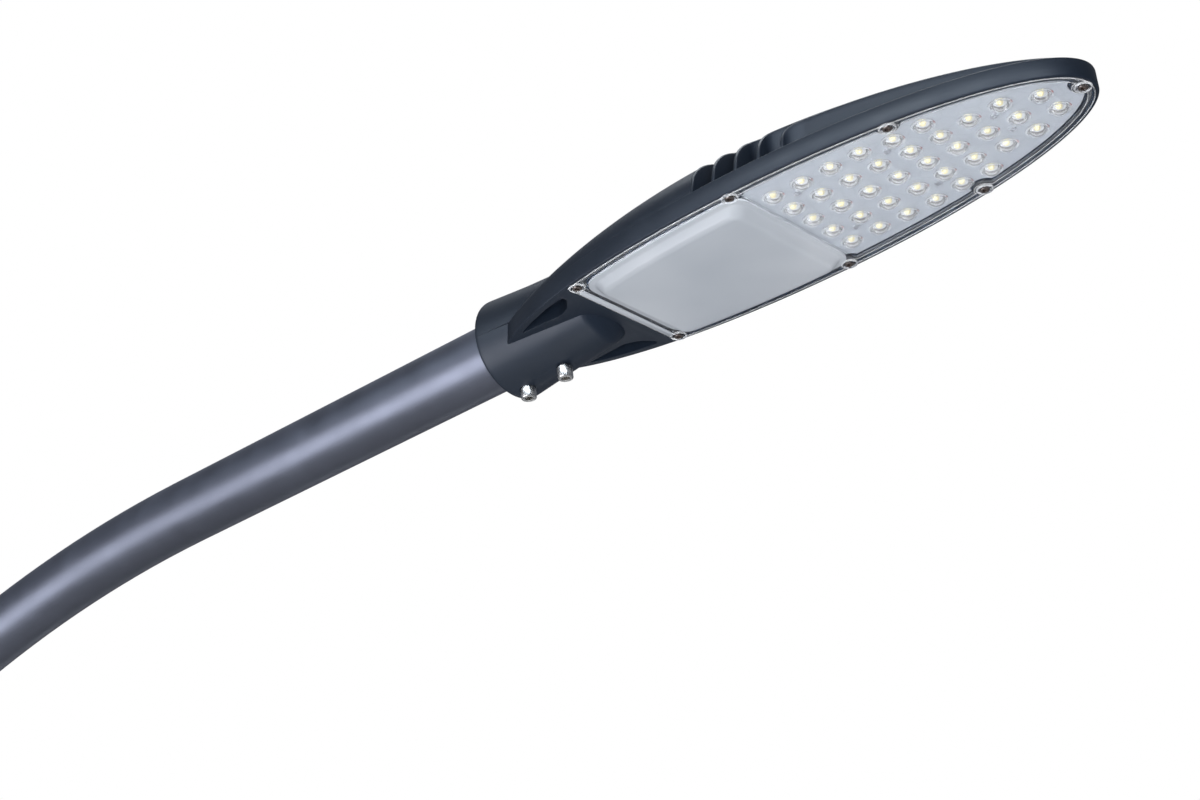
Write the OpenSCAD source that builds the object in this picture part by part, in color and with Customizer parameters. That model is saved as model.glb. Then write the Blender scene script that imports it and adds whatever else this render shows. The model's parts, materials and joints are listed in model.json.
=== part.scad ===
// Street lamp post: a bolted-down stepped steel post with an access door, a swan-neck arm
// that slews on the post, and a leaf-shaped LED lamp head clamped on the arm's end.
// +Z is up, +X points out along the arm, and the origin is the centre of the base plate's
// underside. All lengths are in millimetres and all angles in degrees.

/* [Post] */
// Height of the mouth of the lamp head's collar above the ground
lamp_height = 5000; // [3600:50:6000]
// Outside diameter of the base compartment tube
base_d = 139.7; // [133:0.1:152.4]
// Height of the base compartment tube
base_h = 1000; // [950:10:1200]
// Outside diameter of the post's upper shaft
shaft_d = 76.1; // [76:0.1:80]
// Side of the square base plate
plate_w = 300; // [290:10:360]
// Distance between neighbouring anchor holes
bolt_pitch = 200; // [190:5:230]
// Diameter of each anchor hole
bolt_hole_d = 22; // [18:1:26]

/* [Arm] */
// Outside diameter of the swan-neck tube and of the lamp's spigot
arm_d = 60.3; // [60:0.1:60.5]
// Radius of the bend, on the tube's centre line
bend_r = 1500; // [900:50:1800]
// Upward slope of the arm where it holds the lamp head
arm_rise = 7.7; // [0:0.1:15]
// Straight length of tube between the bend and the lamp's collar
arm_straight = 410; // [200:10:500]

/* [Lamp head] */
// Widest outside width of the lamp head
head_w = 174; // [170:1:178]
// Distance from the collar's mouth to the tip of the lamp head
head_l = 573; // [571:1:576]
// Distance between neighbouring lenses along the lamp head
lens_pitch = 27; // [26.5:0.1:27.2]
// Distance between neighbouring lenses across the widest rows
lens_pitch_across = 26; // [25:0.1:26.5]

/* [Hidden] */
round_fn = 96;
small_fn = 32;

// Base
plate_t = 16;
plate_corner_r = 20;
cable_hole_r = 45;
base_wall = 4;
base_r = base_d / 2;
base_top = plate_t + base_h;
gusset_t = 8;
gusset_h = 130;
gusset_foot = plate_w / 2 - 12;

// Shoulder and shaft
shoulder_h = 80;
shoulder_lip = 10;
neck_h = 24;
neck_t = 4;
shaft_r = shaft_d / 2;
shaft_wall = 3.6;
shaft_bottom = base_top + shoulder_h - 30;

// Swan-neck arm: the bend's centre is at height bend_z, a bend radius out along X
arm_r = arm_d / 2;
arm_wall = 3.2;
bend_z = lamp_height - bend_r * cos(arm_rise) - arm_straight * sin(arm_rise);
arm_foot_z = bend_z;
slew_gap = 0.3;
shaft_top = arm_foot_z - slew_gap;
sleeve_l = 200;
sleeve_gap = 0.5;
sleeve_wall = 5;
sleeve_r = shaft_r + sleeve_gap + sleeve_wall;
reducer_h = 50;
sleeve_screw_r = 5;
sleeve_screw_levels = [40, 160];

// Lamp head frame: its origin is the centre of the collar's mouth, +X runs to the tip
head_x = bend_r * (1 - sin(arm_rise)) + arm_straight * cos(arm_rise);
head_z = lamp_height;
spigot_l = 95;

// Access door
door_z = 700;
door_w = 95;
door_h = 400;
door_corner_r = 18;
door_gap = 1.5;
hinge_angle = 180 + asin(sqrt(1 - pow(door_w / base_d, 2)));
hinge_r = base_r + 6;
hinge_zs = [door_z - 140, door_z + 140];
knuckle_r = 5.5;
knuckle_l = 22;
knuckle_gap = 0.3;
hinge_pin_r = 3;
pin_fit = 0.05;
leaf_t = 3;
lock_angle = 298;
lock_r = 9;
lock_fit = 0.06;
lock_depth = 15;
cam_bore_r = 4;
cam_reach = 25;
cam_w = 12;
cam_t = 4;

// Equipment inside the base
rail_y = 34;
rail_t = 4;
rail_w = 64;
rail_h = 360;
cutout_w = 60;
cutout_h = 160;
cutout_z = 640;
cutout_y = -6;
cutout_split_y = 14;
case_t = 2.5;
breaker_w = 17.5;
breaker_nose_h = 44;
lever_r = 4;
riser_r = 4.5;
earth_z = 550;
earth_angle = 330;

// Lamp head outline
rim_mid = 290;
rim_half = head_w / 2;
rim_rear = 285;
rim_front = head_l - rim_mid;
rear_power = 2.1;
face_z = -19;
rim_top_z = -2.5;
dome_h = 48;
dome_peak_x = 275;
dome_rear_drop = 18;
dome_rear_span = 160;
dome_tip_h = 2.5;
dome_power = 2.2;
dome_front_power = 0.52;
shell_t = 3.6;

// Collar of the lamp head
collar_r = 45;
collar_front_r = 33;
collar_top_r = 36;
collar_l = 104;
bore_r = arm_r + 0.6;
bore_l = spigot_l + 4;
cable_way_r = 9;

// Cover, seals and screws of the lamp head
cover_x = 124.5;
cover_inset = 3;
flange_t = 3;
bulge_x = [139, 303];
bulge_half_w = 63;
bulge_drop = 9;
bulge_slope = 6;
bulge_r = 20;
cover_t = 2.5;
window_t = 2.2;
screw_spots = [[131, 65], [131, -65], [298, 79], [298, -79], [436, 66.5], [436, -66.5], [563.5, 0]];
screw_r = 2;
screw_head_r = 4;
screw_head_h = 2.6;
gasket_inset = 5.8;
gasket_bite = 5.5;
gasket_w = 3;
gasket_t = 2.4;
seat_z = face_z + flange_t;

// Inside the lamp head
bay_inset = 14;
bay_x = [138, 262, 300];
bay_roof_z = -6.5;
board_z = -15;
board_t = 1.5;
board_x = 300;
board_screw_spots = [for (s = [-1, 1]) each [[333.5, s * 39], [414.5, s * 35], [495.5, s * 13]]];
gear_z = 16;
gear_t = 1.5;
gear_lo = [144, -55];
gear_hi = [256, 50];
gear_post_spots = [for (x = [150, 250], s = [-1, 1]) [x, s * 45]];
driver_lo = [160, -20, -12];
driver_hi = [256, 40, gear_z];
block_lo = [164, -54, -8];
block_hi = [194, -28, gear_z];
surge_lo = [204, -54, -8];
surge_hi = [244, -28, gear_z];
tail_r = 4;
vent_z = 20;
vent_r = 4;
head_earth = [38, 4];

// Lenses: each row is [how many it has, distance across]
lens_x0 = 320;
lens_rows = [
    for (i = [0:3]) [5, lens_pitch_across],
    for (i = [0:1]) [5, 23.5],
    for (i = [0:1]) [3, lens_pitch_across],
    [2, lens_pitch_across],
];
lens_r = 8.4;
lens_h = 4.2;
lens_spots = [
    for (i = [0:len(lens_rows) - 1])
        for (j = [0:lens_rows[i][0] - 1])
            [lens_x0 + i * lens_pitch, (j - (lens_rows[i][0] - 1) / 2) * lens_rows[i][1]],
];

// Heat-sink fins: each starts at the rim, runs inward, then turns and runs to the tip
fin_t = 3.2;
fin_x0 = 268;
fin_step = 21.5;
fin_insets = [57, 46, 35, 24, 13];
fin_turn = 20;
fin_end_x = 556;

// Clamping screws under the collar
clamp_xs = [16, 57.5];
clamp_r = 4;
clamp_head_r = 6.6;
clamp_head_h = 10;
clamp_foot_z = [-52.5, -50.5];
clamp_hex_r = 3.5;
clamp_hex_depth = 6;

// ---------------------------------------------------------------- shared functions

function lerp(a, b, t) = a + (b - a) * t;

function unit(v) = v / norm(v);

// Half width of the lamp head's rim at x
function rim_y(x) = x < rim_mid
    ? rim_half * pow(max(0, 1 - pow((rim_mid - x) / rim_rear, rear_power)), 1 / rear_power)
    : rim_half * sqrt(max(0, 1 - pow((x - rim_mid) / rim_front, 2)));

// Height of the top envelope above the rim's top, on the centre line at x
function spine_h(x) = x < dome_peak_x
    ? dome_h - dome_rear_drop * pow((dome_peak_x - x) / dome_rear_span, 2)
    : dome_tip_h + (dome_h - dome_tip_h)
        * pow((1 + cos(180 * (x - dome_peak_x) / (head_l - dome_peak_x))) / 2, dome_front_power);

// Points of the rim's outline, drawn in by an inset, from the rear round the tip
function outline(inset = 0, n = 24) = concat(
    [for (i = [-n:-1]) let (a = 90 * (-i) / n)
        [rim_mid + (rim_front - inset) * cos(a), -(rim_half - inset) * sin(a)]],
    [for (i = [0:n]) let (a = 90 * i / n)
        [rim_mid + (rim_front - inset) * cos(a), (rim_half - inset) * sin(a)]],
    [for (i = [1:n]) let (a = 90 * (1 - i / n))
        [rim_mid - (rim_rear - inset) * pow(cos(a), 2 / rear_power),
            (rim_half - inset) * pow(sin(a), 2 / rear_power)]],
    [for (i = [1:n - 1]) let (a = 90 * i / n)
        [rim_mid - (rim_rear - inset) * pow(cos(a), 2 / rear_power),
            -(rim_half - inset) * pow(sin(a), 2 / rear_power)]]
);

// ---------------------------------------------------------------- shared shapes

// Closes a list of rings, each with the same number of points, into one solid
module skin(rings) {
    n = len(rings[0]);
    m = len(rings);
    polyhedron(
        points = [for (r = rings) each r],
        faces = concat(
            [[for (i = [0:n - 1]) i]],
            [for (k = [0:m - 2]) for (i = [0:n - 1])
                [k * n + i, (k + 1) * n + i, (k + 1) * n + (i + 1) % n, k * n + (i + 1) % n]],
            [[for (i = [n - 1:-1:0]) (m - 1) * n + i]]
        ),
        convexity = 6
    );
}

// A round cable swept along a path; side is a direction that the path never runs along
module cable(path, r, side = [0, 1, 0], sides = 8) {
    last = len(path) - 1;
    skin([
        for (i = [0:last])
            let (
                t = unit(path[min(i + 1, last)] - path[max(i - 1, 0)]),
                u = unit(cross(t, side)),
                v = cross(u, t)
            )
            [for (a = [0:sides - 1]) path[i] + r * (cos(360 * a / sides) * u + sin(360 * a / sides) * v)]
    ]);
}

// Points of a smooth curve through a short list of points
function smooth(p, n = 4) = concat(
    [for (i = [0:len(p) - 2])
        let (a = p[max(i - 1, 0)], b = p[i], c = p[i + 1], d = p[min(i + 2, len(p) - 1)])
        for (k = [0:n - 1])
            let (t = k / n)
            0.5 * (2 * b + (c - a) * t + (2 * a - 5 * b + 4 * c - d) * t * t
                + (3 * b - a - 3 * c + d) * t * t * t)],
    [p[len(p) - 1]]
);

module tube(r_out, r_in, h) {
    difference() {
        cylinder(r = r_out, h = h, $fn = round_fn);
        translate([0, 0, -1]) cylinder(r = r_in, h = h + 2, $fn = round_fn);
    }
}

module rounded_square(w, h, r) {
    square([w - 2 * r, h], center = true);
    square([w, h - 2 * r], center = true);
    for (x = [-1, 1], y = [-1, 1])
        translate([x * (w / 2 - r), y * (h / 2 - r)]) circle(r = r, $fn = 48);
}

module box(lo, hi) {
    translate(lo) cube(hi - lo);
}

module hex_recess(r, depth) {
    cylinder(r = r, h = depth, $fn = 6);
}

// ---------------------------------------------------------------- post

module base_plate() {
    color([0.2, 0.22, 0.25]) difference() {
        linear_extrude(plate_t) rounded_square(plate_w, plate_w, plate_corner_r);
        translate([0, 0, -1]) cylinder(r = cable_hole_r, h = plate_t + 2, $fn = round_fn);
        for (x = [-1, 1], y = [-1, 1])
            translate([x * bolt_pitch / 2, y * bolt_pitch / 2, -1])
                cylinder(d = bolt_hole_d, h = plate_t + 2, $fn = 48);
    }
}

module base_gussets() {
    color([0.2, 0.22, 0.25]) for (a = [0:90:270]) rotate(a) difference() {
        translate([0, gusset_t / 2, plate_t]) rotate([90, 0, 0]) linear_extrude(gusset_t)
            polygon([[base_r - 4, 0], [gusset_foot, 0], [gusset_foot, 14], [base_r + 14, gusset_h],
                [base_r - 4, gusset_h]]);
        cylinder(r = base_r, h = base_top, $fn = round_fn);
    }
}

// The door's outline as a prism that runs out through the front wall of the base tube
module door_prism(gap) {
    translate([0, 0, door_z]) rotate([90, 0, 0]) linear_extrude(base_r + 20)
        rounded_square(door_w - 2 * gap, door_h - 2 * gap, door_corner_r - gap);
}

module base_tube() {
    color([0.2, 0.22, 0.25]) difference() {
        translate([0, 0, plate_t]) tube(base_r, base_r - base_wall, base_h);
        door_prism(0);
    }
}

module shoulder() {
    inner = base_r - base_wall;
    color([0.2, 0.22, 0.25]) translate([0, 0, base_top]) rotate_extrude($fn = round_fn) polygon([
        [inner, 0], [base_r, 0], [base_r, shoulder_lip],
        [shaft_r + neck_t, shoulder_h - 8], [shaft_r + neck_t, shoulder_h + neck_h - 8],
        [shaft_r, shoulder_h + neck_h - 8], [shaft_r, shoulder_h - 14], [inner, shoulder_lip],
    ]);
}

module shaft() {
    color([0.2, 0.22, 0.25]) translate([0, 0, shaft_bottom])
        tube(shaft_r, shaft_r - shaft_wall, shaft_top - shaft_bottom);
}

// A hinge leaf: a curved plate on the tube's surface and a neck to the barrel's axis.
// turn is the sense in which the plate runs from the hinge.
module hinge_leaf(z, l, turn) {
    translate([0, 0, z]) {
        intersection() {
            tube(base_r + leaf_t, base_r, l);
            rotate(hinge_angle + turn * 9) translate([base_r - 5, -7, 0]) cube([20, 14, l]);
        }
        rotate(hinge_angle) translate([base_r + 0.2, turn > 0 ? 0.6 : -6, 0]) cube([6, 5.4, l]);
    }
}

module at_hinge(z) {
    rotate(hinge_angle) translate([hinge_r, 0, z]) children();
}

module hinge_knuckles() {
    color([0.2, 0.22, 0.25]) for (z = hinge_zs) difference() {
        union() {
            hinge_leaf(z - knuckle_l, knuckle_l, -1);
            at_hinge(z - knuckle_l) cylinder(r = knuckle_r, h = knuckle_l, $fn = small_fn);
        }
        at_hinge(z - knuckle_l - 1) cylinder(r = hinge_pin_r, h = knuckle_l + 2, $fn = small_fn);
    }
}

module hinge_pins() {
    color("silver") for (z = hinge_zs) at_hinge(z - knuckle_l)
        cylinder(r = hinge_pin_r, h = 2 * knuckle_l + 1, $fn = small_fn);
}

module equipment_rail() {
    color("gainsboro") translate([0, rail_y + rail_t, door_z]) rotate([90, 0, 0]) difference() {
        linear_extrude(rail_t) rounded_square(rail_w, rail_h, 6);
        for (z = [-150, 150]) translate([0, z, -1]) cylinder(r = 4, h = rail_t + 2, $fn = small_fn);
    }
}

// Two spacers with their bolts, which hold the rail off the tube's back wall
module rail_brackets() {
    color("silver") for (z = [door_z - 150, door_z + 150]) {
        intersection() {
            translate([0, rail_y + rail_t, z]) rotate([-90, 0, 0]) cylinder(r = 8, h = 60, $fn = small_fn);
            translate([0, 0, z - 20]) cylinder(r = base_r - base_wall, h = 40, $fn = round_fn);
        }
        translate([0, rail_y - 6, z]) rotate([-90, 0, 0]) {
            cylinder(r = 4, h = rail_t + 6, $fn = small_fn);
            cylinder(r = 7, h = 6, $fn = 6);
        }
    }
}

module cutout_base() {
    color([0.25, 0.26, 0.28]) difference() {
        box([-cutout_w / 2, cutout_split_y, cutout_z], [cutout_w / 2, rail_y, cutout_z + cutout_h]);
        box([-cutout_w / 2 + case_t, cutout_split_y - 1, cutout_z + case_t],
            [cutout_w / 2 - case_t, rail_y - case_t, cutout_z + cutout_h - case_t]);
        translate([0, 23, cutout_z + cutout_h - 10]) cylinder(r = 6, h = 20, $fn = small_fn);
        for (x = [-14, 14]) translate([x, 23, cutout_z - 10]) cylinder(r = 6, h = 20, $fn = small_fn);
    }
}

module cutout_cover() {
    color([0.75, 0.77, 0.78]) difference() {
        box([-cutout_w / 2, cutout_y, cutout_z], [cutout_w / 2, cutout_split_y, cutout_z + cutout_h]);
        box([-cutout_w / 2 + case_t, cutout_y + case_t, cutout_z + case_t],
            [cutout_w / 2 - case_t, cutout_split_y + 1, cutout_z + cutout_h - case_t]);
        box([-breaker_w / 2 - 0.5, cutout_y - 1, door_z + 20 - breaker_nose_h / 2 - 0.5],
            [breaker_w / 2 + 0.5, cutout_y + 5, door_z + 20 + breaker_nose_h / 2 + 0.5]);
    }
}

module breaker_body() {
    color("whitesmoke") difference() {
        union() {
            box([-breaker_w / 2, cutout_y + case_t + 1, door_z - 22],
                [breaker_w / 2, rail_y - case_t, door_z + 62]);
            box([-breaker_w / 2, cutout_y - 4, door_z + 20 - breaker_nose_h / 2],
                [breaker_w / 2, cutout_y + 6, door_z + 20 + breaker_nose_h / 2]);
        }
        box([-3.5, cutout_y - 5, door_z + 8], [3.5, cutout_y + 5, door_z + 32]);
    }
}

// Toggle of the breaker, which turns on a small pivot in the breaker's nose
module breaker_lever() {
    color([0.1, 0.25, 0.5]) translate([0, cutout_y, door_z + 20]) {
        translate([-3.2, 0, 0]) rotate([0, 90, 0]) cylinder(r = lever_r, h = 6.4, $fn = small_fn);
        rotate([-30, 0, 0]) box([-2.5, -12, -2], [2.5, 0, 2]);
    }
}

module supply_terminals() {
    color("goldenrod") for (x = [-18, 18]) for (z = [cutout_z + 30, cutout_z + 60]) difference() {
        box([x - 7, rail_y - case_t - 14, z], [x + 7, rail_y - case_t, z + 20]);
        translate([x, rail_y - case_t - 7, z - 1]) cylinder(r = 3, h = 22, $fn = small_fn);
    }
}

module cable_glands() {
    color([0.12, 0.12, 0.13]) {
        translate([0, 23, cutout_z + cutout_h]) difference() {
            union() {
                cylinder(r = 9, h = 6, $fn = 6);
                cylinder(r = 7.5, h = 18, $fn = small_fn);
                translate([0, 0, -case_t]) cylinder(r = 6, h = case_t + 1, $fn = small_fn);
            }
            translate([0, 0, -case_t - 1]) cylinder(r = riser_r, h = 30, $fn = small_fn);
        }
        for (x = [-14, 14]) translate([x, 23, cutout_z - 20]) {
            translate([0, 0, 14]) cylinder(r = 8.5, h = 6, $fn = 6);
            cylinder(r = 7.5, h = 16, $fn = small_fn);
            translate([0, 0, 15]) cylinder(r = 6, h = 5 + case_t, $fn = small_fn);
        }
    }
}

module at_earth() {
    rotate(earth_angle) translate([base_r - base_wall, 0, earth_z]) rotate([0, -90, 0]) children();
}

module earth_stud() {
    color("goldenrod") difference() {
        at_earth() translate([0, 0, -2]) cylinder(r = 4, h = 30, $fn = small_fn);
        translate([0, 0, earth_z - 10]) tube(base_r + 10, base_r - base_wall, 20);
    }
}

module earth_nuts() {
    color("silver") for (h = [8, 18]) at_earth() translate([0, 0, h]) difference() {
        union() {
            cylinder(r = 7.5, h = 6, $fn = 6);
            translate([0, 0, -1.5]) cylinder(r = 9, h = 1.5, $fn = small_fn);
        }
        translate([0, 0, -3]) cylinder(r = 4, h = 12, $fn = small_fn);
    }
}

// The earth lead runs from the stud to the lower corner of the equipment rail
earth_lead_path = smooth([[44, -16.5, 547], [40, -6, 538], [33, 10, 530], [27, 24, 538], [26, 30.5, 552]], 4);

module earth_lead() {
    color([0.45, 0.6, 0.15]) cable(earth_lead_path, 2, [0, 0, 1]);
}

// The cable leaves the cut-out's top gland and bends over onto the post's centre line
riser_lower_path = concat(
    smooth([[0, 23, 800], [0, 23, 822], [0, 22.5, 844], [0, 18, 880], [0, 8, 925], [0, 1.5, 970],
        [0, 0, 1010]], 3),
    [[0, 0, 1200], [0, 0, arm_foot_z - 0.2]]
);

module riser_cable_lower() {
    color([0.1, 0.1, 0.1]) cable(riser_lower_path, riser_r, [1, 0, 0]);
}

// ---------------------------------------------------------------- door

module door() {
    color([0.2, 0.22, 0.25]) difference() {
        union() {
            intersection() {
                translate([0, 0, plate_t]) tube(base_r, base_r - base_wall, base_h);
                door_prism(door_gap);
            }
            for (z = hinge_zs) {
                hinge_leaf(z + knuckle_gap, knuckle_l - knuckle_gap, 1);
                at_hinge(z + knuckle_gap)
                    cylinder(r = knuckle_r, h = knuckle_l - knuckle_gap, $fn = small_fn);
            }
        }
        for (z = hinge_zs) at_hinge(z - 2)
            cylinder(r = hinge_pin_r + pin_fit, h = knuckle_l + 6, $fn = small_fn);
        at_lock(-20) cylinder(r = lock_r + 2, h = 40, $fn = small_fn);
    }
}

// A frame with its +Z along the lock's axis, outward, at the door's outer surface
module at_lock(h) {
    rotate(lock_angle) translate([base_r + h, 0, door_z]) rotate([0, 90, 0]) children();
}

module door_lock_case() {
    color("silver") difference() {
        union() {
            at_lock(-9) cylinder(r = lock_r + 2, h = 11, $fn = small_fn);
            at_lock(0.6) cylinder(r = lock_r + 4, h = 1.6, $fn = small_fn);
        }
        at_lock(-20) cylinder(r = lock_r + lock_fit, h = 40, $fn = small_fn);
    }
}

module lock_barrel() {
    color("darkgray") difference() {
        union() {
            at_lock(-lock_depth) cylinder(r = lock_r, h = lock_depth + 1, $fn = small_fn);
            at_lock(-lock_depth - 8) cylinder(r = cam_bore_r, h = 9, $fn = small_fn);
        }
        at_lock(-4) cylinder(r = 6, h = 10, $fn = 3);
    }
}

module lock_cam() {
    color("silver") difference() {
        at_lock(-lock_depth - cam_t) linear_extrude(cam_t) {
            circle(r = cam_w / 2 + 1, $fn = small_fn);
            translate([-cam_reach, -cam_w / 2]) square([cam_reach, cam_w]);
        }
        at_lock(-40) cylinder(r = cam_bore_r, h = 30, $fn = small_fn);
    }
}

module lock_nut() {
    color("silver") difference() {
        at_lock(-lock_depth - cam_t - 3) cylinder(r = 6.5, h = 3, $fn = 6);
        at_lock(-40) cylinder(r = cam_bore_r, h = 30, $fn = small_fn);
    }
}

// ---------------------------------------------------------------- arm

module sleeve_screw_axes() {
    for (level = sleeve_screw_levels, a = [60:120:300])
        translate([0, 0, arm_foot_z - level]) rotate([0, 90, a]) children();
}

module arm_sleeve() {
    color([0.2, 0.22, 0.25]) difference() {
        translate([0, 0, arm_foot_z - sleeve_l]) tube(sleeve_r, shaft_r + sleeve_gap, sleeve_l);
        sleeve_screw_axes() cylinder(r = sleeve_screw_r, h = sleeve_r + 5, $fn = small_fn);
    }
}

module arm_reducer() {
    color([0.2, 0.22, 0.25]) translate([0, 0, arm_foot_z]) rotate_extrude($fn = round_fn) polygon([
        [arm_r, 0], [sleeve_r, 0], [sleeve_r, 10], [arm_r + 4.5, reducer_h - 3],
        [arm_r + 4.5, reducer_h], [arm_r + 1.2, reducer_h], [arm_r + 1.2, 5], [arm_r, 5],
    ]);
}

// One tube: the bend and the straight spigot, both placed from the bend's centre
module arm_solid(r) {
    translate([bend_r, 0, bend_z]) rotate([90, 0, 0]) rotate(90 + arm_rise) {
        rotate_extrude(angle = 90 - arm_rise, $fn = round_fn)
            translate([bend_r, 0]) circle(r = r, $fn = round_fn);
        translate([bend_r, 0, 0]) rotate([90, 0, 0])
            cylinder(r = r, h = arm_straight + spigot_l, $fn = round_fn);
    }
}

module arm_tube() {
    color([0.3, 0.31, 0.36]) difference() {
        arm_solid(arm_r);
        arm_solid(arm_r - arm_wall);
    }
}

module sleeve_set_screws() {
    color("silver") sleeve_screw_axes() difference() {
        translate([0, 0, shaft_r + 0.3]) cylinder(r = sleeve_screw_r, h = 12, $fn = small_fn);
        translate([0, 0, shaft_r + 8]) hex_recess(2.9, 8);
    }
}

riser_bend_steps = 24;
riser_upper_path = concat(
    [for (i = [0:riser_bend_steps]) let (a = lerp(89.99, arm_rise, i / riser_bend_steps))
        [bend_r * (1 - sin(a)), 0, bend_z + bend_r * cos(a)]],
    [for (s = [60, arm_straight + spigot_l + 1])
        [bend_r * (1 - sin(arm_rise)) + s * cos(arm_rise), 0,
            bend_z + bend_r * cos(arm_rise) + s * sin(arm_rise)]]
);

module riser_cable_upper() {
    color([0.1, 0.1, 0.1]) cable(riser_upper_path, riser_r);
}

module tube_end_bush() {
    color([0.08, 0.08, 0.08]) on_head() rotate([0, 90, 0]) difference() {
        union() {
            translate([0, 0, spigot_l - 18]) cylinder(r = arm_r - arm_wall, h = 18, $fn = round_fn);
            translate([0, 0, spigot_l]) cylinder(r = arm_r - 0.5, h = 1.8, $fn = round_fn);
        }
        translate([0, 0, spigot_l - 20]) cylinder(r = riser_r + 0.5, h = 30, $fn = small_fn);
    }
}

// ---------------------------------------------------------------- lamp head

module on_head() {
    translate([head_x, 0, head_z]) rotate([0, -arm_rise, 0]) children();
}

// The outline in plan, ahead of x_min and short of x_max
module plan(inset, x_min = 0, x_max = 600) {
    intersection() {
        polygon(outline(inset));
        translate([x_min, -200]) square([x_max - x_min, 400]);
    }
}

// The top envelope as a solid, drawn in at the sides and lowered
module dome(inset, drop, x_min, x_max, nx = 30, ny = 14) {
    floor_z = rim_top_z - 4;
    skin([
        for (i = [0:nx])
            let (x = lerp(x_min, x_max, i / nx), w = rim_y(x) - inset, h = max(0.6, spine_h(x) - drop))
            concat(
                [for (j = [0:ny]) let (a = 180 * j / ny, c = cos(a))
                    [x, w * sign(c) * pow(abs(c), 2 / dome_power), rim_top_z + h * sin(a)]],
                [[x, -w, floor_z], [x, w, floor_z]]
            )
    ]);
}

// Centre line of fin k in plan, on the side s: inward from the rim, round a turn, to the tip
function fin_path(k, s) = let (
        x0 = fin_x0 + k * fin_step,
        xt = x0 + fin_turn,
        inset = fin_insets[k],
        n_run = 14,
        y_turn = rim_y(xt) - inset
    )
    concat(
        [[x0, s * (rim_y(x0) - 1)], [x0, s * (y_turn + fin_turn * 0.6)]],
        [for (i = [1:4]) let (a = 90 * i / 5)
            [xt - fin_turn * cos(a), s * (y_turn + fin_turn * 0.6 * (1 - sin(a)))]],
        [for (i = [0:n_run]) let (x = lerp(xt, fin_end_x, i / n_run), y = rim_y(x) - inset)
            if (y > 2) [x, s * y]]
    );

// A strip of even width along a path in plan
module strip(path, w) {
    last = len(path) - 1;
    normals = [for (i = [0:last]) let (t = unit(path[min(i + 1, last)] - path[max(i - 1, 0)])) [-t[1], t[0]]];
    polygon(concat(
        [for (i = [0:last]) path[i] + normals[i] * w / 2],
        [for (i = [last:-1:0]) path[i] - normals[i] * w / 2]
    ));
}

module fins_plan() {
    for (k = [0:len(fin_insets) - 1], s = [-1, 1]) strip(fin_path(k, s), fin_t);
    translate([fin_x0, -fin_t / 2]) square([fin_end_x - fin_x0, fin_t]);
}

// The part of the plan behind the first fin, where the top is a smooth shell
module shell_plan() {
    first = fin_path(0, 1);
    polygon(concat(
        [[60, -100], [fin_x0, -100]],
        [for (i = [0:6]) [first[i][0], -first[i][1]]],
        [for (i = [6:-1:0]) first[i]],
        [[fin_x0, 100], [60, 100]]
    ));
}

// The lower half of the collar narrows towards the front and ends in a slope
module collar() {
    rotate([0, 90, 0]) {
        cylinder(r1 = collar_r - 2, r2 = collar_r, h = 2, $fn = round_fn);
        translate([0, 0, 2]) cylinder(r1 = collar_r, r2 = collar_front_r, h = collar_l - 2, $fn = round_fn);
        translate([0, 0, collar_l]) cylinder(r1 = collar_front_r, r2 = 18, h = 14, $fn = round_fn);
    }
    intersection() {
        rotate([0, 90, 0]) union() {
            cylinder(r1 = collar_r - 2, r2 = collar_r, h = 2, $fn = round_fn);
            translate([0, 0, 2]) cylinder(r1 = collar_r, r2 = collar_top_r, h = 150, $fn = round_fn);
        }
        box([0, -60, 8], [150, 60, 60]);
    }
}

// One of the two pockets beside the collar, in plan
module pocket_plan(s) {
    polygon([[50, s * 42.5], [66, s * 49.5], [88, s * 57], [110, s * 62], [113, s * 58],
        [104, s * 46], [92, s * 40], [78, s * 41]]);
}

module screw_shanks(r, z0, z1) {
    for (p = screw_spots) translate([p[0], p[1], z0]) cylinder(r = r, h = z1 - z0, $fn = small_fn);
}

// The plan inside the cover's rim, with a round bite left out at each screw
module inside_plan(inset, bite, x_min = 0) {
    difference() {
        plan(inset, x_min);
        for (p = screw_spots) translate([p[0], p[1]]) circle(r = bite, $fn = 48);
    }
}

module gasket_plan(grow = 0) {
    difference() {
        inside_plan(gasket_inset - grow, gasket_bite - grow, cover_x + gasket_inset - grow);
        inside_plan(gasket_inset + gasket_w + grow, gasket_bite + gasket_w + grow,
            cover_x + gasket_inset + gasket_w + grow);
    }
}

module board_plan(clear) {
    edge = gasket_w + 1.5 + clear;
    inside_plan(gasket_inset + edge, gasket_bite + edge, board_x + clear - 1);
}

module housing() {
    color([0.3, 0.34, 0.39]) on_head() {
        difference() {
            union() {
                collar();
                translate([0, 0, face_z]) linear_extrude(rim_top_z - face_z) plan(0);
                intersection() {
                    dome(1.5, 0, 60, 570);
                    translate([0, 0, -20]) linear_extrude(100) {
                        shell_plan();
                        fins_plan();
                    }
                }
            }
            housing_hollows();
            housing_holes();
        }
        intersection() {
            dome(2, 1, 60, 330);
            for (p = gear_post_spots) translate([p[0], p[1], gear_z + gear_t]) difference() {
                cylinder(r = 4, h = 60, $fn = small_fn);
                translate([0, 0, -1]) cylinder(r = 1.5, h = 8, $fn = small_fn);
            }
        }
    }
}

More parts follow.
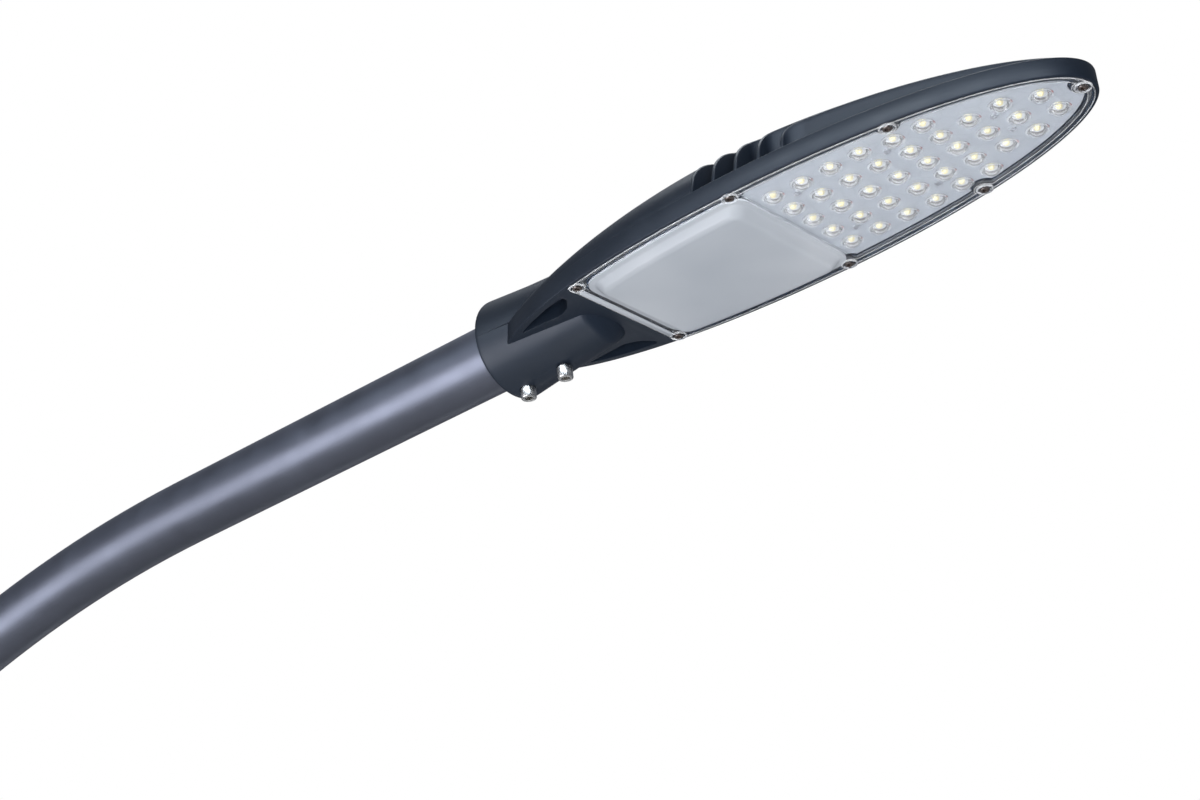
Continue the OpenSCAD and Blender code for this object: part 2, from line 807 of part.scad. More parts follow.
module housing_hollows() {
    // Seat of the cover's flange and the seal's groove
    translate([0, 0, face_z - 1]) linear_extrude(flange_t + 1) plan(cover_inset - 0.4, cover_x - 0.4);
    translate([0, 0, seat_z - 1]) linear_extrude(gasket_t + 1) gasket_plan(0.2);
    // Gear bay, its roof under the shell, and the low part under the first fins
    translate([0, 0, face_z]) linear_extrude(rim_top_z - face_z + 0.01) plan(bay_inset, bay_x[0], bay_x[1]);
    translate([0, 0, face_z]) linear_extrude(bay_roof_z - face_z) plan(bay_inset, bay_x[0], bay_x[2]);
    intersection() {
        dome(8, shell_t, 60, 330);
        translate([0, 0, -10]) linear_extrude(80) plan(bay_inset, bay_x[0], bay_x[1]);
    }
    // Bed of the light-emitting board
    translate([0, 0, face_z]) linear_extrude(board_z + board_t - face_z) board_plan(0);
    // Pockets beside the collar
    for (s = [-1, 1]) translate([0, 0, face_z - 1]) linear_extrude(14) pocket_plan(s);
}

module housing_holes() {
    rotate([0, 90, 0]) {
        translate([0, 0, -1]) cylinder(r = bore_r, h = bore_l + 1, $fn = round_fn);
        translate([0, 0, 4]) cylinder(r = bore_r + 2.5, h = 4, $fn = round_fn);
        cylinder(r = cable_way_r, h = bay_x[0] + 1, $fn = small_fn);
        translate([-vent_z, 0, 0]) cylinder(r = vent_r, h = bay_x[0] + 1, $fn = small_fn);
        translate([-head_earth[1], head_earth[0], bay_x[0] - 10]) cylinder(r = 2.5, h = 12, $fn = small_fn);
    }
    for (x = clamp_xs) translate([x, 0, -60]) cylinder(r = clamp_r + 0.05, h = 60, $fn = small_fn);
    translate([clamp_xs[0], 0, -60]) cylinder(r = clamp_head_r + 0.8, h = 17.5, $fn = small_fn);
    screw_shanks(screw_r + 0.1, face_z, face_z + 14);
    for (p = board_screw_spots) translate([p[0], p[1], board_z]) cylinder(r = 1.5, h = 8, $fn = small_fn);
}

module spigot_seal() {
    color([0.08, 0.08, 0.08]) on_head() rotate([0, 90, 0]) translate([0, 0, 4.2])
        tube(bore_r + 2.4, arm_r + 0.1, 3.6);
}

module head_cable_gland() {
    color([0.12, 0.12, 0.13]) on_head() rotate([0, 90, 0]) difference() {
        translate([0, 0, bay_x[0]]) {
            translate([0, 0, -10]) cylinder(r = cable_way_r, h = 10, $fn = small_fn);
            cylinder(r = 12, h = 5, $fn = 6);
            cylinder(r = 8, h = 11, $fn = small_fn);
        }
        translate([0, 0, bay_x[0] - 20]) cylinder(r = tail_r, h = 40, $fn = small_fn);
    }
}

supply_tail_path = concat(
    [[spigot_l + 1.4, 0, 0]],
    smooth([[124, 0, 0], [145, 0, 0], [151, -6, 0], [153, -18, 0], [154, -32, 1], [163.8, -41, 2]], 4)
);

module supply_tail() {
    color([0.1, 0.1, 0.1]) on_head() cable(supply_tail_path, tail_r, [0, 0, 1]);
}

module gear_plate() {
    color("silver") on_head() difference() {
        box([gear_lo[0], gear_lo[1], gear_z], [gear_hi[0], gear_hi[1], gear_z + gear_t]);
        for (p = gear_post_spots)
            translate([p[0], p[1], gear_z - 1]) cylinder(r = 1.7, h = gear_t + 2, $fn = small_fn);
    }
}

// A small screw, drawn upwards from the underside of its head at z = 0
module screw(r, shank, head_r, head_h) {
    cylinder(r = r, h = shank, $fn = small_fn);
    difference() {
        translate([0, 0, -head_h]) cylinder(r = head_r, h = head_h, $fn = small_fn);
        translate([0, 0, -head_h - 1]) hex_recess(head_r * 0.45, head_h * 0.6 + 1);
    }
}

module gear_plate_screws() {
    color("silver") on_head() for (p = gear_post_spots)
        translate([p[0], p[1], gear_z]) screw(1.5, gear_t + 5, 3, 2);
}

driver_screw_spots = [for (x = [driver_lo[0] + 4, driver_hi[0] - 4]) [x, driver_lo[1] + 4]];

module led_driver() {
    color("whitesmoke") on_head() difference() {
        box(driver_lo, driver_hi);
        for (p = driver_screw_spots) translate([p[0], p[1], driver_lo[2] - 1]) {
            cylinder(r = 3.2, h = 26, $fn = small_fn);
            cylinder(r = 1.8, h = 40, $fn = small_fn);
        }
    }
}

module driver_screws() {
    color("silver") on_head() for (p = driver_screw_spots)
        translate([p[0], p[1], driver_lo[2] + 25]) screw(1.5, gear_z - driver_lo[2] - 25, 3, 2);
}

module surge_protector() {
    color([0.75, 0.12, 0.1]) on_head() box(surge_lo, surge_hi);
}

module terminal_block() {
    color("ivory") on_head() difference() {
        box(block_lo, block_hi);
        for (i = [0:2]) translate([(block_lo[0] + block_hi[0]) / 2, block_lo[1] + 5 + i * 8, block_lo[2] - 1])
            cylinder(r = 2.5, h = 8, $fn = small_fn);
    }
}

// Leads from the terminal block to the surge protector and to the driver
module mains_leads() {
    color([0.15, 0.3, 0.6]) on_head() {
        for (y = [-48, -42]) cable([[194.1, y, 0], [199, y, -1], [203.9, y, 0]], 1.2, [0, 1, 0]);
        for (z = [0, 6])
            cable(smooth([[194.1, -34, z], [198, -33, z], [200, -29, z], [200, -20.1, z]], 3),
                1.2, [0, 0, 1]);
    }
}

// Leads from the driver to the edge of the light-emitting board
module driver_leads() {
    color([0.7, 0.1, 0.1]) on_head() for (y = [8, 13])
        cable(smooth([[256.1, y, -8], [264, y, -9.5], [284, y, -11], [294, y, -13.5], [299.9, y, -14.2]], 3),
            0.7, [0, 1, 0]);
}

module led_board() {
    color("whitesmoke") on_head() difference() {
        translate([0, 0, board_z]) linear_extrude(board_t) board_plan(1);
        for (p = board_screw_spots)
            translate([p[0], p[1], board_z - 1]) cylinder(r = 1.6, h = board_t + 2, $fn = small_fn);
    }
}

module led_chips() {
    color("khaki") on_head() for (p = lens_spots)
        translate([p[0], p[1], board_z - 0.8]) cylinder(r = 2.5, h = 0.8, $fn = small_fn);
}

module board_screws() {
    color("silver") on_head() for (p = board_screw_spots)
        translate([p[0], p[1], board_z]) screw(1.5, board_t + 5, 2.8, 1.2);
}

module breather_vent() {
    color([0.12, 0.12, 0.13])
    on_head() rotate([0, 90, 0]) translate([-vent_z, 0, bay_x[0] - 12]) difference() {
        union() {
            cylinder(r = vent_r, h = 12, $fn = small_fn);
            translate([0, 0, 12]) cylinder(r = vent_r + 2, h = 4, $fn = 6);
        }
        translate([0, 0, -1]) cylinder(r = 2, h = 13, $fn = small_fn);
    }
}

module head_earth_screw() {
    color("goldenrod") on_head() translate([bay_x[0], head_earth[0], head_earth[1]]) rotate([0, -90, 0]) {
        translate([0, 0, -5]) screw(2.5, 13, 4.5, 3);
        translate([0, 0, -1.5]) difference() {
            cylinder(r = 6, h = 1.5, $fn = small_fn);
            translate([0, 0, -1]) cylinder(r = 2.5, h = 4, $fn = small_fn);
        }
    }
}

module cover_gasket() {
    color([0.15, 0.15, 0.16]) on_head() translate([0, 0, seat_z]) linear_extrude(gasket_t) gasket_plan();
}

// The raised pan under the gear bay, drawn in by t all round
module pan(t) {
    hull() for (x = [bulge_x[0] + bulge_r, bulge_x[1] - bulge_r], s = [-1, 1])
        translate([x, s * (bulge_half_w - bulge_r), face_z - bulge_drop + t])
            cylinder(r1 = bulge_r - bulge_slope - t, r2 = bulge_r - t, h = bulge_drop + 0.01, $fn = small_fn);
}

module lens_cover() {
    lens_ring_r = 9.4;
    color([0.8, 0.82, 0.86, 0.6]) on_head() difference() {
        union() {
            translate([0, 0, face_z]) linear_extrude(flange_t) difference() {
                plan(cover_inset, cover_x);
                board_plan(0);
                plan(bay_inset + 3, bay_x[0] + 3, bay_x[2]);
            }
            translate([0, 0, face_z]) linear_extrude(window_t) plan(bay_inset, bay_x[0]);
            pan(0);
            for (p = lens_spots) translate([p[0], p[1], face_z]) {
                translate([0, 0, -1]) cylinder(r = lens_ring_r, h = 2, $fn = small_fn);
                translate([0, 0, -lens_h])
                    cylinder(r1 = lens_r * 0.62, r2 = lens_r, h = lens_h, $fn = small_fn);
            }
        }
        pan(cover_t);
        for (p = screw_spots) translate([p[0], p[1], face_z - 1]) {
            cylinder(r = screw_r + 0.4, h = 8, $fn = small_fn);
            cylinder(r = screw_head_r + 0.6, h = 2, $fn = small_fn);
        }
    }
}

module cover_screws() {
    color("silver") on_head() for (p = screw_spots)
        translate([p[0], p[1], face_z + 1]) screw(screw_r, 10, screw_head_r, screw_head_h);
}

// A clamping screw: its tip stops just short of the arm, and its socket opens downwards
module set_screw(i) {
    color("silver") on_head() translate([clamp_xs[i], 0, 0]) difference() {
        union() {
            translate([0, 0, clamp_foot_z[i]]) cylinder(r = clamp_head_r, h = clamp_head_h, $fn = small_fn);
            translate([0, 0, clamp_foot_z[i] + 1])
                cylinder(r = clamp_r, h = -clamp_foot_z[i] - 1 - arm_r - 0.1, $fn = small_fn);
        }
        translate([0, 0, clamp_foot_z[i] - 1]) hex_recess(clamp_hex_r, clamp_hex_depth + 1);
    }
}

module set_screw_rear() {
    set_screw(0);
}

module set_screw_front() {
    set_screw(1);
}

base_plate();
base_gussets();
base_tube();
shoulder();
shaft();
hinge_knuckles();
hinge_pins();
equipment_rail();
rail_brackets();
cutout_base();
cutout_cover();
breaker_body();
supply_terminals();
cable_glands();
earth_stud();
earth_nuts();
earth_lead();
riser_cable_lower();
door();
door_lock_case();
lock_barrel();
lock_cam();
lock_nut();
breaker_lever();
arm_sleeve();
arm_reducer();
arm_tube();
sleeve_set_screws();
riser_cable_upper();
tube_end_bush();
housing();
spigot_seal();
head_cable_gland();
supply_tail();
gear_plate();
gear_plate_screws();
led_driver();
driver_screws();
surge_protector();
terminal_block();
mains_leads();
driver_leads();
led_board();
led_chips();
board_screws();
breather_vent();
head_earth_screw();
cover_gasket();
lens_cover();
cover_screws();
set_screw_rear();
set_screw_front();
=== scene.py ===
"""Looks of a street lamp post: an LED lamp head on a swan-neck arm, on a stepped steel column.

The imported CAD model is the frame. The lamp head's casting, its cover, light sources and screws and
the arm's tube are built again here as finer meshes in the same places. The other CAD pieces stay, and
the column gains its weld beads. Every surface gets its own procedural material. Shapes are worked
out in millimetres and placed in metres.
"""
import json
import math

import bmesh
import bpy
from mathutils import Matrix, Vector


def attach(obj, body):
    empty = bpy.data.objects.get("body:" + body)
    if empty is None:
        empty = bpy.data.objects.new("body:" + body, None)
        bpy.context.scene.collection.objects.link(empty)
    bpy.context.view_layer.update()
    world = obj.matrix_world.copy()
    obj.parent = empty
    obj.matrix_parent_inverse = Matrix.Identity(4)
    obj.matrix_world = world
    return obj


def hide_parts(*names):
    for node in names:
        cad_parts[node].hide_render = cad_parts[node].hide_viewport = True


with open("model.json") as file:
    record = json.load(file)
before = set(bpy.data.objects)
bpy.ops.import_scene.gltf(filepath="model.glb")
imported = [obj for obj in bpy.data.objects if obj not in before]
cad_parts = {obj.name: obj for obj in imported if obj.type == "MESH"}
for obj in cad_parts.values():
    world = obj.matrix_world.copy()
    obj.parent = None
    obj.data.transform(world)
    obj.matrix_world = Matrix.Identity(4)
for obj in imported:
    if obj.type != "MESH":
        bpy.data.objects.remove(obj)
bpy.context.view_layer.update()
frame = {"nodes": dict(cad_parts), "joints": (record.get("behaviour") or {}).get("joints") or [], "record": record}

MM = 0.001
TAU = 2 * math.pi
JOINTS = {j["name"]: j for j in frame["joints"]}

# ------------------------------------------------------------------ places, from the frame

head_origin = Vector(JOINTS["head_roll"]["pos_m"])
head_x = Vector(JOINTS["head_roll"]["axis"]).normalized()
head_z = -Vector(JOINTS["cover_drop"]["axis"]).normalized()
head_y = head_z.cross(head_x)
HEAD = Matrix.Translation(head_origin) @ Matrix((head_x, head_y, head_z)).transposed().to_4x4()
HEAD_MM = HEAD @ Matrix.Scale(MM, 4)
WORLD_MM = Matrix.Scale(MM, 4)

# ------------------------------------------------------------------ lamp head dimensions, in mm

RIM_MID = 290.0
RIM_HALF = 87.0
RIM_REAR = 285.0
HEAD_L = 573.0
RIM_FRONT = HEAD_L - RIM_MID
REAR_POWER = 2.1
FACE_Z = -19.0
SEAT_Z = -16.0
RIM_TOP = -2.5
DOME_H = 48.0
DOME_PEAK_X = 275.0
DOME_REAR_DROP = 18.0
DOME_REAR_SPAN = 160.0
DOME_TIP_H = 2.5
DOME_POWER = 2.2
DOME_FRONT_POWER = 0.52
SHELL_T = 3.6
BORE_R = 30.75
COVER_X = 124.5
GEAR_BAY = (138.0, 262.0, 300.0)
BAY_INSET = 14.0
BAY_ROOF = -6.5
BED_Z = -13.5
BOARD_X = 300.0
GASKET_INSET = 5.8
GASKET_BITE = 5.5
GASKET_W = 3.0
GASKET_T = 2.4
GASKET_PLAY = 0.2
SCREWS = [(131, 65), (131, -65), (298, 79), (298, -79), (436, 66.5), (436, -66.5), (563.5, 0)]
BOARD_SCREWS = [(x, s * y) for s in (-1, 1) for x, y in ((333.5, 39), (414.5, 35), (495.5, 13))]
POSTS = [(x, s * 45) for x in (150, 250) for s in (-1, 1)]
CLAMP_X = (16.0, 57.5)
CLAMP_FOOT = (-52.5, -50.5)
BLOCK_Y = 120.0
LENS_X0 = 320.0
LENS_PITCH = 27.0
LENS_ROWS = [(5, 26.0)] * 4 + [(5, 23.5)] * 2 + [(3, 26.0)] * 2 + [(2, 26.0)]
LENSES = [(LENS_X0 + i * LENS_PITCH, (j - (n - 1) / 2) * pitch)
          for i, (n, pitch) in enumerate(LENS_ROWS) for j in range(n)]
FIN_T = 3.2
FIN_X0 = 268.0
FIN_STEP = 21.5
FIN_INSETS = (57.0, 46.0, 35.0, 24.0, 13.0)
FIN_TURN = 20.0
FIN_END_X = 556.0


def lerp(a, b, t):
    return a + (b - a) * t


def rim_y(x):
    """Half width of the lamp head's rim at x."""
    if x < RIM_MID:
        return RIM_HALF * max(0.0, 1 - abs((RIM_MID - x) / RIM_REAR) ** REAR_POWER) ** (1 / REAR_POWER)
    return RIM_HALF * math.sqrt(max(0.0, 1 - ((x - RIM_MID) / RIM_FRONT) ** 2))


def spine_h(x):
    """Height of the top envelope over the rim's top on the centre line."""
    if x < DOME_PEAK_X:
        return DOME_H - DOME_REAR_DROP * ((DOME_PEAK_X - x) / DOME_REAR_SPAN) ** 2
    t = (x - DOME_PEAK_X) / (HEAD_L - DOME_PEAK_X)
    return DOME_TIP_H + (DOME_H - DOME_TIP_H) * max(0.0, (1 + math.cos(math.pi * t)) / 2) ** DOME_FRONT_POWER


def top_z(x, y, inset=1.5):
    """Height of the top envelope at a point in plan."""
    w = rim_y(x) - inset
    if abs(y) >= w:
        return RIM_TOP
    cos_a = (abs(y) / w) ** (DOME_POWER / 2)
    return RIM_TOP + spine_h(x) * math.sqrt(1 - cos_a * cos_a)


def outline(inset=0.0, n=64):
    """The rim's outline in plan, drawn in by an inset."""
    points = []
    for i in range(4 * n):
        a = TAU * i / (4 * n)
        c, s = math.cos(a), math.sin(a)
        if c >= 0:
            points.append((RIM_MID + (RIM_FRONT - inset) * c, (RIM_HALF - inset) * s))
        else:
            points.append((RIM_MID - (RIM_REAR - inset) * abs(c) ** (2 / REAR_POWER),
                           math.copysign((RIM_HALF - inset) * abs(s) ** (2 / REAR_POWER), s)))
    return points


# ------------------------------------------------------------------ mesh tools

def loft(rings, cap=True):
    """Closes rings with the same number of points into one solid."""
    n = len(rings[0])
    verts = [v for ring in rings for v in ring]
    faces = []
    for k in range(len(rings) - 1):
        for i in range(n):
            j = (i + 1) % n
            faces.append((k * n + i, k * n + j, (k + 1) * n + j, (k + 1) * n + i))
    if cap:
        faces.append(tuple(range(n - 1, -1, -1)))
        faces.append(tuple((len(rings) - 1) * n + i for i in range(n)))
    return verts, faces


def loop(rings):
    """Closes rings into a hoop: the last one meets the first."""
    verts, faces = loft(rings, cap=False)
    n, last = len(rings[0]), len(rings) - 1
    faces += [(last * n + i, last * n + (i + 1) % n, (i + 1) % n, i) for i in range(n)]
    return verts, faces


def hoop(section, x, y, sides):
    """A closed section of radii and heights, turned about an upright line."""
    angles = [TAU * i / sides for i in range(sides)]
    return loop([[(x + r * math.cos(a), y + r * math.sin(a), z) for r, z in section] for a in angles])


def lathe(profile, sides=64, axis="z", centre=(0, 0, 0)):
    """Turns (radius, height) points about the z or x axis. A radius of zero closes the end."""
    verts, faces, rows = [], [], []
    for r, h in profile:
        if r < 1e-6:
            rows.append([len(verts)] * sides)
            verts.append((0, 0, h))
        else:
            rows.append(list(range(len(verts), len(verts) + sides)))
            verts += [(r * math.cos(TAU * i / sides), r * math.sin(TAU * i / sides), h) for i in range(sides)]
    for a, b in zip(rows, rows[1:]):
        for i in range(sides):
            j = (i + 1) % sides
            face = list(dict.fromkeys((a[i], a[j], b[j], b[i])))
            if len(face) > 2:
                faces.append(tuple(face))
    for row, end in ((rows[0], True), (rows[-1], False)):
        if row[0] != row[-1]:
            faces.append(tuple(reversed(row)) if end else tuple(row))
    if axis == "x":
        verts = [(z, x, y) for x, y, z in verts]
    return [(x + centre[0], y + centre[1], z + centre[2]) for x, y, z in verts], faces


def prism(points, z0, z1):
    """An upright prism over an outline in plan."""
    return loft([[(x, y, z) for x, y in points] for z in (z0, z1)])


def cylinder(x, y, r, z0, z1, sides=48):
    """An upright cylinder."""
    return lathe([(r, z0), (r, z1)], sides, centre=(x, y, 0))


def block(lo, hi):
    """A box from its lowest to its highest corner."""
    return prism([(lo[0], lo[1]), (hi[0], lo[1]), (hi[0], hi[1]), (lo[0], hi[1])], lo[2], hi[2])


def raw_object(shape, matrix=None, name="scratch"):
    """A mesh object from (verts, faces), with its faces turned outwards."""
    mesh = bpy.data.meshes.new(name)
    mesh.from_pydata([tuple(v) for v in shape[0]], [], shape[1])
    if matrix is not None:
        mesh.transform(matrix)
    bm = bmesh.new()
    bm.from_mesh(mesh)
    bmesh.ops.recalc_face_normals(bm, faces=bm.faces)
    bm.to_mesh(mesh)
    bm.free()
    obj = bpy.data.objects.new(name, mesh)
    bpy.context.scene.collection.objects.link(obj)
    return obj


def drop(obj):
    """Deletes a scratch object and its mesh."""
    mesh = obj.data
    bpy.data.objects.remove(obj)
    bpy.data.meshes.remove(mesh)


def bake_modifiers(obj):
    """Puts the result of an object's modifiers in place of its mesh."""
    graph = bpy.context.evaluated_depsgraph_get()
    mesh = bpy.data.meshes.new_from_object(obj.evaluated_get(graph))
    old = obj.data
    obj.modifiers.clear()
    obj.data = mesh
    bpy.data.meshes.remove(old)


def combine(obj, shape, operation):
    """Joins, cuts or crosses obj with a closed shape."""
    tool = raw_object(shape) if isinstance(shape, tuple) else shape
    modifier = obj.modifiers.new("combine", "BOOLEAN")
    modifier.object = tool
    modifier.operation = operation
    modifier.solver = "MANIFOLD"
    bake_modifiers(obj)
    drop(tool)


def add(obj, *shapes):
    """Joins closed shapes to obj."""
    for shape in shapes:
        combine(obj, shape, "UNION")


def cut(obj, *shapes):
    """Cuts closed shapes out of obj."""
    for shape in shapes:
        combine(obj, shape, "DIFFERENCE")


def keep(obj, shape):
    """Keeps only the part of obj inside a closed shape."""
    combine(obj, shape, "INTERSECT")


def merge(objects):
    """Moves the meshes of several objects into the first one, side by side."""
    first = objects[0]
    bm = bmesh.new()
    for obj in objects:
        bm.from_mesh(obj.data)
    bm.to_mesh(first.data)
    bm.free()
    for obj in objects[1:]:
        drop(obj)
    return first


def join_shapes(shapes):
    """One list of vertices and faces from several closed shapes."""
    verts, faces = [], []
    for v, f in shapes:
        base = len(verts)
        verts += v
        faces += [tuple(i + base for i in face) for face in f]
    return verts, faces


def finish_piece(obj, name, body, mat, nodes, angle):
    """Names a piece, smooths it, gives it its material and ties it to its body."""
    obj.name = name
    obj.data.name = name
    obj.data.materials.clear()
    obj.data.materials.append(mat)
    obj.data.shade_smooth()
    obj.data.set_sharp_from_angle(angle=math.radians(angle))
    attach(obj, body)
    if nodes:
        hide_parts(*nodes)


def piece(name, shape, matrix, body, mat, nodes, angle):
    """Makes a piece straight from vertices and faces."""
    finish_piece(raw_object(shape, matrix), name, body, mat, nodes, angle)


# ------------------------------------------------------------------ material tools

class Nodes:
    """A material's node tree with short ways to add what the surfaces here need."""

    def __init__(self, name):
        self.mat = bpy.data.materials.new(name)
        self.mat.use_nodes = True
        self.tree = self.mat.node_tree
        self.shader = self.tree.nodes["Principled BSDF"]
        self.coords = self.new("ShaderNodeTexCoord").outputs["Object"]

    def new(self, kind, **values):
        node = self.tree.nodes.new(kind)
        for key, value in values.items():
            setattr(node, key, value)
        return node

    def link(self, a, b):
        self.tree.links.new(a, b)

    def noise(self, scale, detail=3.0, rough=0.5, stretch=None):
        """Noise in the object's own space, drawn out along z by a stretch."""
        node = self.new("ShaderNodeTexNoise")
        node.inputs["Scale"].default_value = scale
        node.inputs["Detail"].default_value = detail
        node.inputs["Roughness"].default_value = rough
        self.link(self.stretched(stretch), node.inputs["Vector"])
        return node.outputs["Fac"]

    def stretched(self, stretch):
        """The object's own space, drawn out if a stretch is given."""
        if stretch is None:
            return self.coords
        node = self.new("ShaderNodeMapping")
        node.inputs["Scale"].default_value = stretch
        self.link(self.coords, node.inputs["Vector"])
        return node.outputs["Vector"]

    def cells(self, scale, feature="F1", output="Distance"):
        """A cell pattern: its distances or its colours."""
        node = self.new("ShaderNodeTexVoronoi", feature=feature)
        node.inputs["Scale"].default_value = scale
        self.link(self.coords, node.inputs["Vector"])
        return node.outputs[output]

    def span(self, fac, lo, hi, start=0.3, end=0.7):
        """A number that runs from lo to hi as fac runs from start to end."""
        node = self.new("ShaderNodeMapRange")
        for key, value in (("From Min", start), ("From Max", end), ("To Min", lo), ("To Max", hi)):
            node.inputs[key].default_value = value
        self.link(fac, node.inputs["Value"])
        return node.outputs["Result"]

    def mix(self, fac, a, b):
        """A colour between a and b, each a colour or another node's output."""
        node = self.new("ShaderNodeMix", data_type="RGBA")
        sockets = [s for s in node.inputs if s.enabled]
        self.link(fac, sockets[0])
        for socket, value in zip(sockets[1:], (a, b)):
            if isinstance(value, tuple):
                socket.default_value = (*value, 1)
            else:
                self.link(value, socket)
        return [s for s in node.outputs if s.enabled][0]

    def bump(self, height, strength, distance, normal=None):
        """A surface normal raised by a height, over another normal if there is one."""
        node = self.new("ShaderNodeBump")
        node.inputs["Strength"].default_value = strength
        node.inputs["Distance"].default_value = distance
        self.link(height, node.inputs["Height"])
        if normal is not None:
            self.link(normal, node.inputs["Normal"])
        return node.outputs["Normal"]

    def edges(self, radius):
        """A surface normal that rounds off sharp edges."""
        node = self.new("ShaderNodeBevel", samples=4)
        node.inputs["Radius"].default_value = radius
        return node.outputs["Normal"]

    def set(self, **values):
        """Sets the shader's inputs to numbers, colours or other nodes' outputs."""
        names = {"base": "Base Color", "rough": "Roughness", "metal": "Metallic", "normal": "Normal",
                 "ior": "IOR", "glass": "Transmission Weight", "aniso": "Anisotropic",
                 "specular": "Specular IOR Level", "subsurface": "Subsurface Weight"}
        for key, value in values.items():
            socket = self.shader.inputs[names[key]]
            if isinstance(value, (int, float)):
                socket.default_value = value
            elif isinstance(value, tuple):
                socket.default_value = (*value, 1)
            else:
                self.link(value, socket)


def scaled(colour, k):
    """A colour made lighter or darker."""
    return tuple(min(1.0, c * k) for c in colour)


def powder_coat(name, colour, rough=0.42, grain=900.0, grain_depth=0.00012, edge=0.0, metal=0.0,
                specular=0.5):
    """Baked powder paint: faint orange peel, slow shifts in tone and dust in the pores."""
    n = Nodes(name)
    tone = n.mix(n.span(n.noise(6, 4), 0, 1, 0.35, 0.65), scaled(colour, 0.92), scaled(colour, 1.07))
    speck = n.mix(n.span(n.noise(grain * 1.7, 2), 0, 0.35, 0.55, 0.8), tone, scaled(colour, 1.5))
    streak = n.mix(n.span(n.noise(22, 5, 0.6, (1, 1, 0.12)), 0, 0.06, 0.5, 0.8), speck, scaled(colour, 2.5))
    normal = n.edges(edge) if edge else None
    peel = n.bump(n.noise(grain, 2), 0.35, grain_depth, normal)
    normal = n.bump(n.noise(grain * 0.22, 2), 0.12, grain_depth * 3, peel)
    n.set(base=streak, rough=n.span(n.noise(35, 4), rough - 0.04, rough + 0.05), normal=normal, metal=metal,
          specular=specular)
    return n.mat


def steel(name, colour, rough=0.26):
    """Turned or rolled stainless steel with fine scratches."""
    n = Nodes(name)
    base = n.mix(n.span(n.noise(180, 3), 0, 1), scaled(colour, 0.9), colour)
    scratch = n.noise(2500, 2, 0.6, (1, 1, 0.08))
    n.set(base=base, metal=1.0, rough=n.span(n.noise(300, 3), rough - 0.05, rough + 0.06), aniso=0.3,
          normal=n.bump(scratch, 0.06, 0.00002))
    return n.mat


def zinc(name):
    """Galvanised steel with its soft spangle."""
    n = Nodes(name)
    cell = n.cells(120, output="Color")
    tone = n.mix(cell, (0.46, 0.48, 0.50), (0.66, 0.68, 0.69))
    n.set(base=tone, metal=0.9, rough=n.span(n.noise(60, 4), 0.38, 0.58),
          normal=n.bump(n.noise(300, 3), 0.2, 0.0001))
    return n.mat


def plastic(name, colour, rough=0.45, grain=1200.0, depth=0.00006, subsurface=0.0):
    """Moulded plastic with a fine spark-eroded texture."""
    n = Nodes(name)
    base = n.mix(n.span(n.noise(30, 4), 0, 1), scaled(colour, 0.94), scaled(colour, 1.05))
    n.set(base=base, rough=n.span(n.noise(90, 3), rough - 0.06, rough + 0.06), subsurface=subsurface,
          normal=n.bump(n.noise(grain, 3), 0.3, depth))
    return n.mat


def rubber(name, colour=(0.02, 0.02, 0.021), rough=0.7):
    """Matt rubber with a dusty mottle."""
    n = Nodes(name)
    base = n.mix(n.span(n.noise(45, 5), 0, 1), colour, scaled(colour, 1.9))
    n.set(base=base, rough=n.span(n.noise(140, 3), rough - 0.1, rough + 0.1),
          normal=n.bump(n.noise(700, 3), 0.3, 0.0001))
    return n.mat


def board_mask(name):
    """White solder mask over aluminium, with faint copper tracks beneath it."""
    n = Nodes(name)
    tracks = n.span(n.cells(60, "DISTANCE_TO_EDGE"), 0, 1, 0.02, 0.06)
    base = n.mix(tracks, (0.36, 0.375, 0.40), (0.39, 0.405, 0.43))
    base = n.mix(n.span(n.noise(14, 4), 0, 0.5), base, (0.34, 0.355, 0.39))
    n.set(base=base, rough=n.span(n.noise(200, 3), 0.32, 0.45), normal=n.bump(tracks, 0.3, 0.00004))
    return n.mat


def clear_polycarbonate(name):
    """Clear moulded cover: mostly see-through, with a crisp gloss and faint flow marks."""
    n = Nodes(name)
    n.set(base=(0.93, 0.95, 0.97), rough=n.span(n.noise(40, 3), 0.02, 0.06), ior=1.2, glass=1.0,
          normal=n.bump(n.noise(55, 2), 0.08, 0.0002))
    return lets_light_through(n, 0.92)


def lens_plastic(name, clear=(0.86, 0.92)):
    """Optical plastic, more or less clear."""
    n = Nodes(name)
    milk = n.span(n.noise(60, 2), *clear)
    n.set(base=(0.97, 0.975, 0.98), rough=n.span(n.noise(80, 2), 0.02, 0.05), ior=1.24, glass=milk,
          specular=0.9, normal=n.bump(n.noise(120, 2), 0.04, 0.0001))
    return lets_light_through(n, 0.95)


def frosted_polycarbonate(name):
    """The satin pan, opaque here: soft clouds stand in for the shadows of the gear behind it."""
    n = Nodes(name)
    cloud = n.span(n.noise(9, 2, 0.4), 0, 1, 0.38, 0.66)
    base = n.mix(cloud, (0.43, 0.46, 0.50), (0.52, 0.545, 0.58))
    n.set(base=base, rough=n.span(n.noise(50, 2), 0.30, 0.36), specular=0.45,
          normal=n.bump(n.noise(1500, 2), 0.08, 0.00003))
    return n.mat


def lets_light_through(n, share):
    """Shadow rays pass through a clear cover instead of being stopped by its refraction."""
    path = n.new("ShaderNodeLightPath")
    clear = n.new("ShaderNodeBsdfTransparent")
    clear.inputs["Color"].default_value = (share, share, share, 1)
    mixer = n.new("ShaderNodeMixShader")
    output = n.tree.nodes["Material Output"]
    n.link(path.outputs["Is Shadow Ray"], mixer.inputs["Fac"])
    n.link(n.shader.outputs[0], mixer.inputs[1])
    n.link(clear.outputs[0], mixer.inputs[2])
    n.link(mixer.outputs[0], output.inputs["Surface"])
    return n.mat


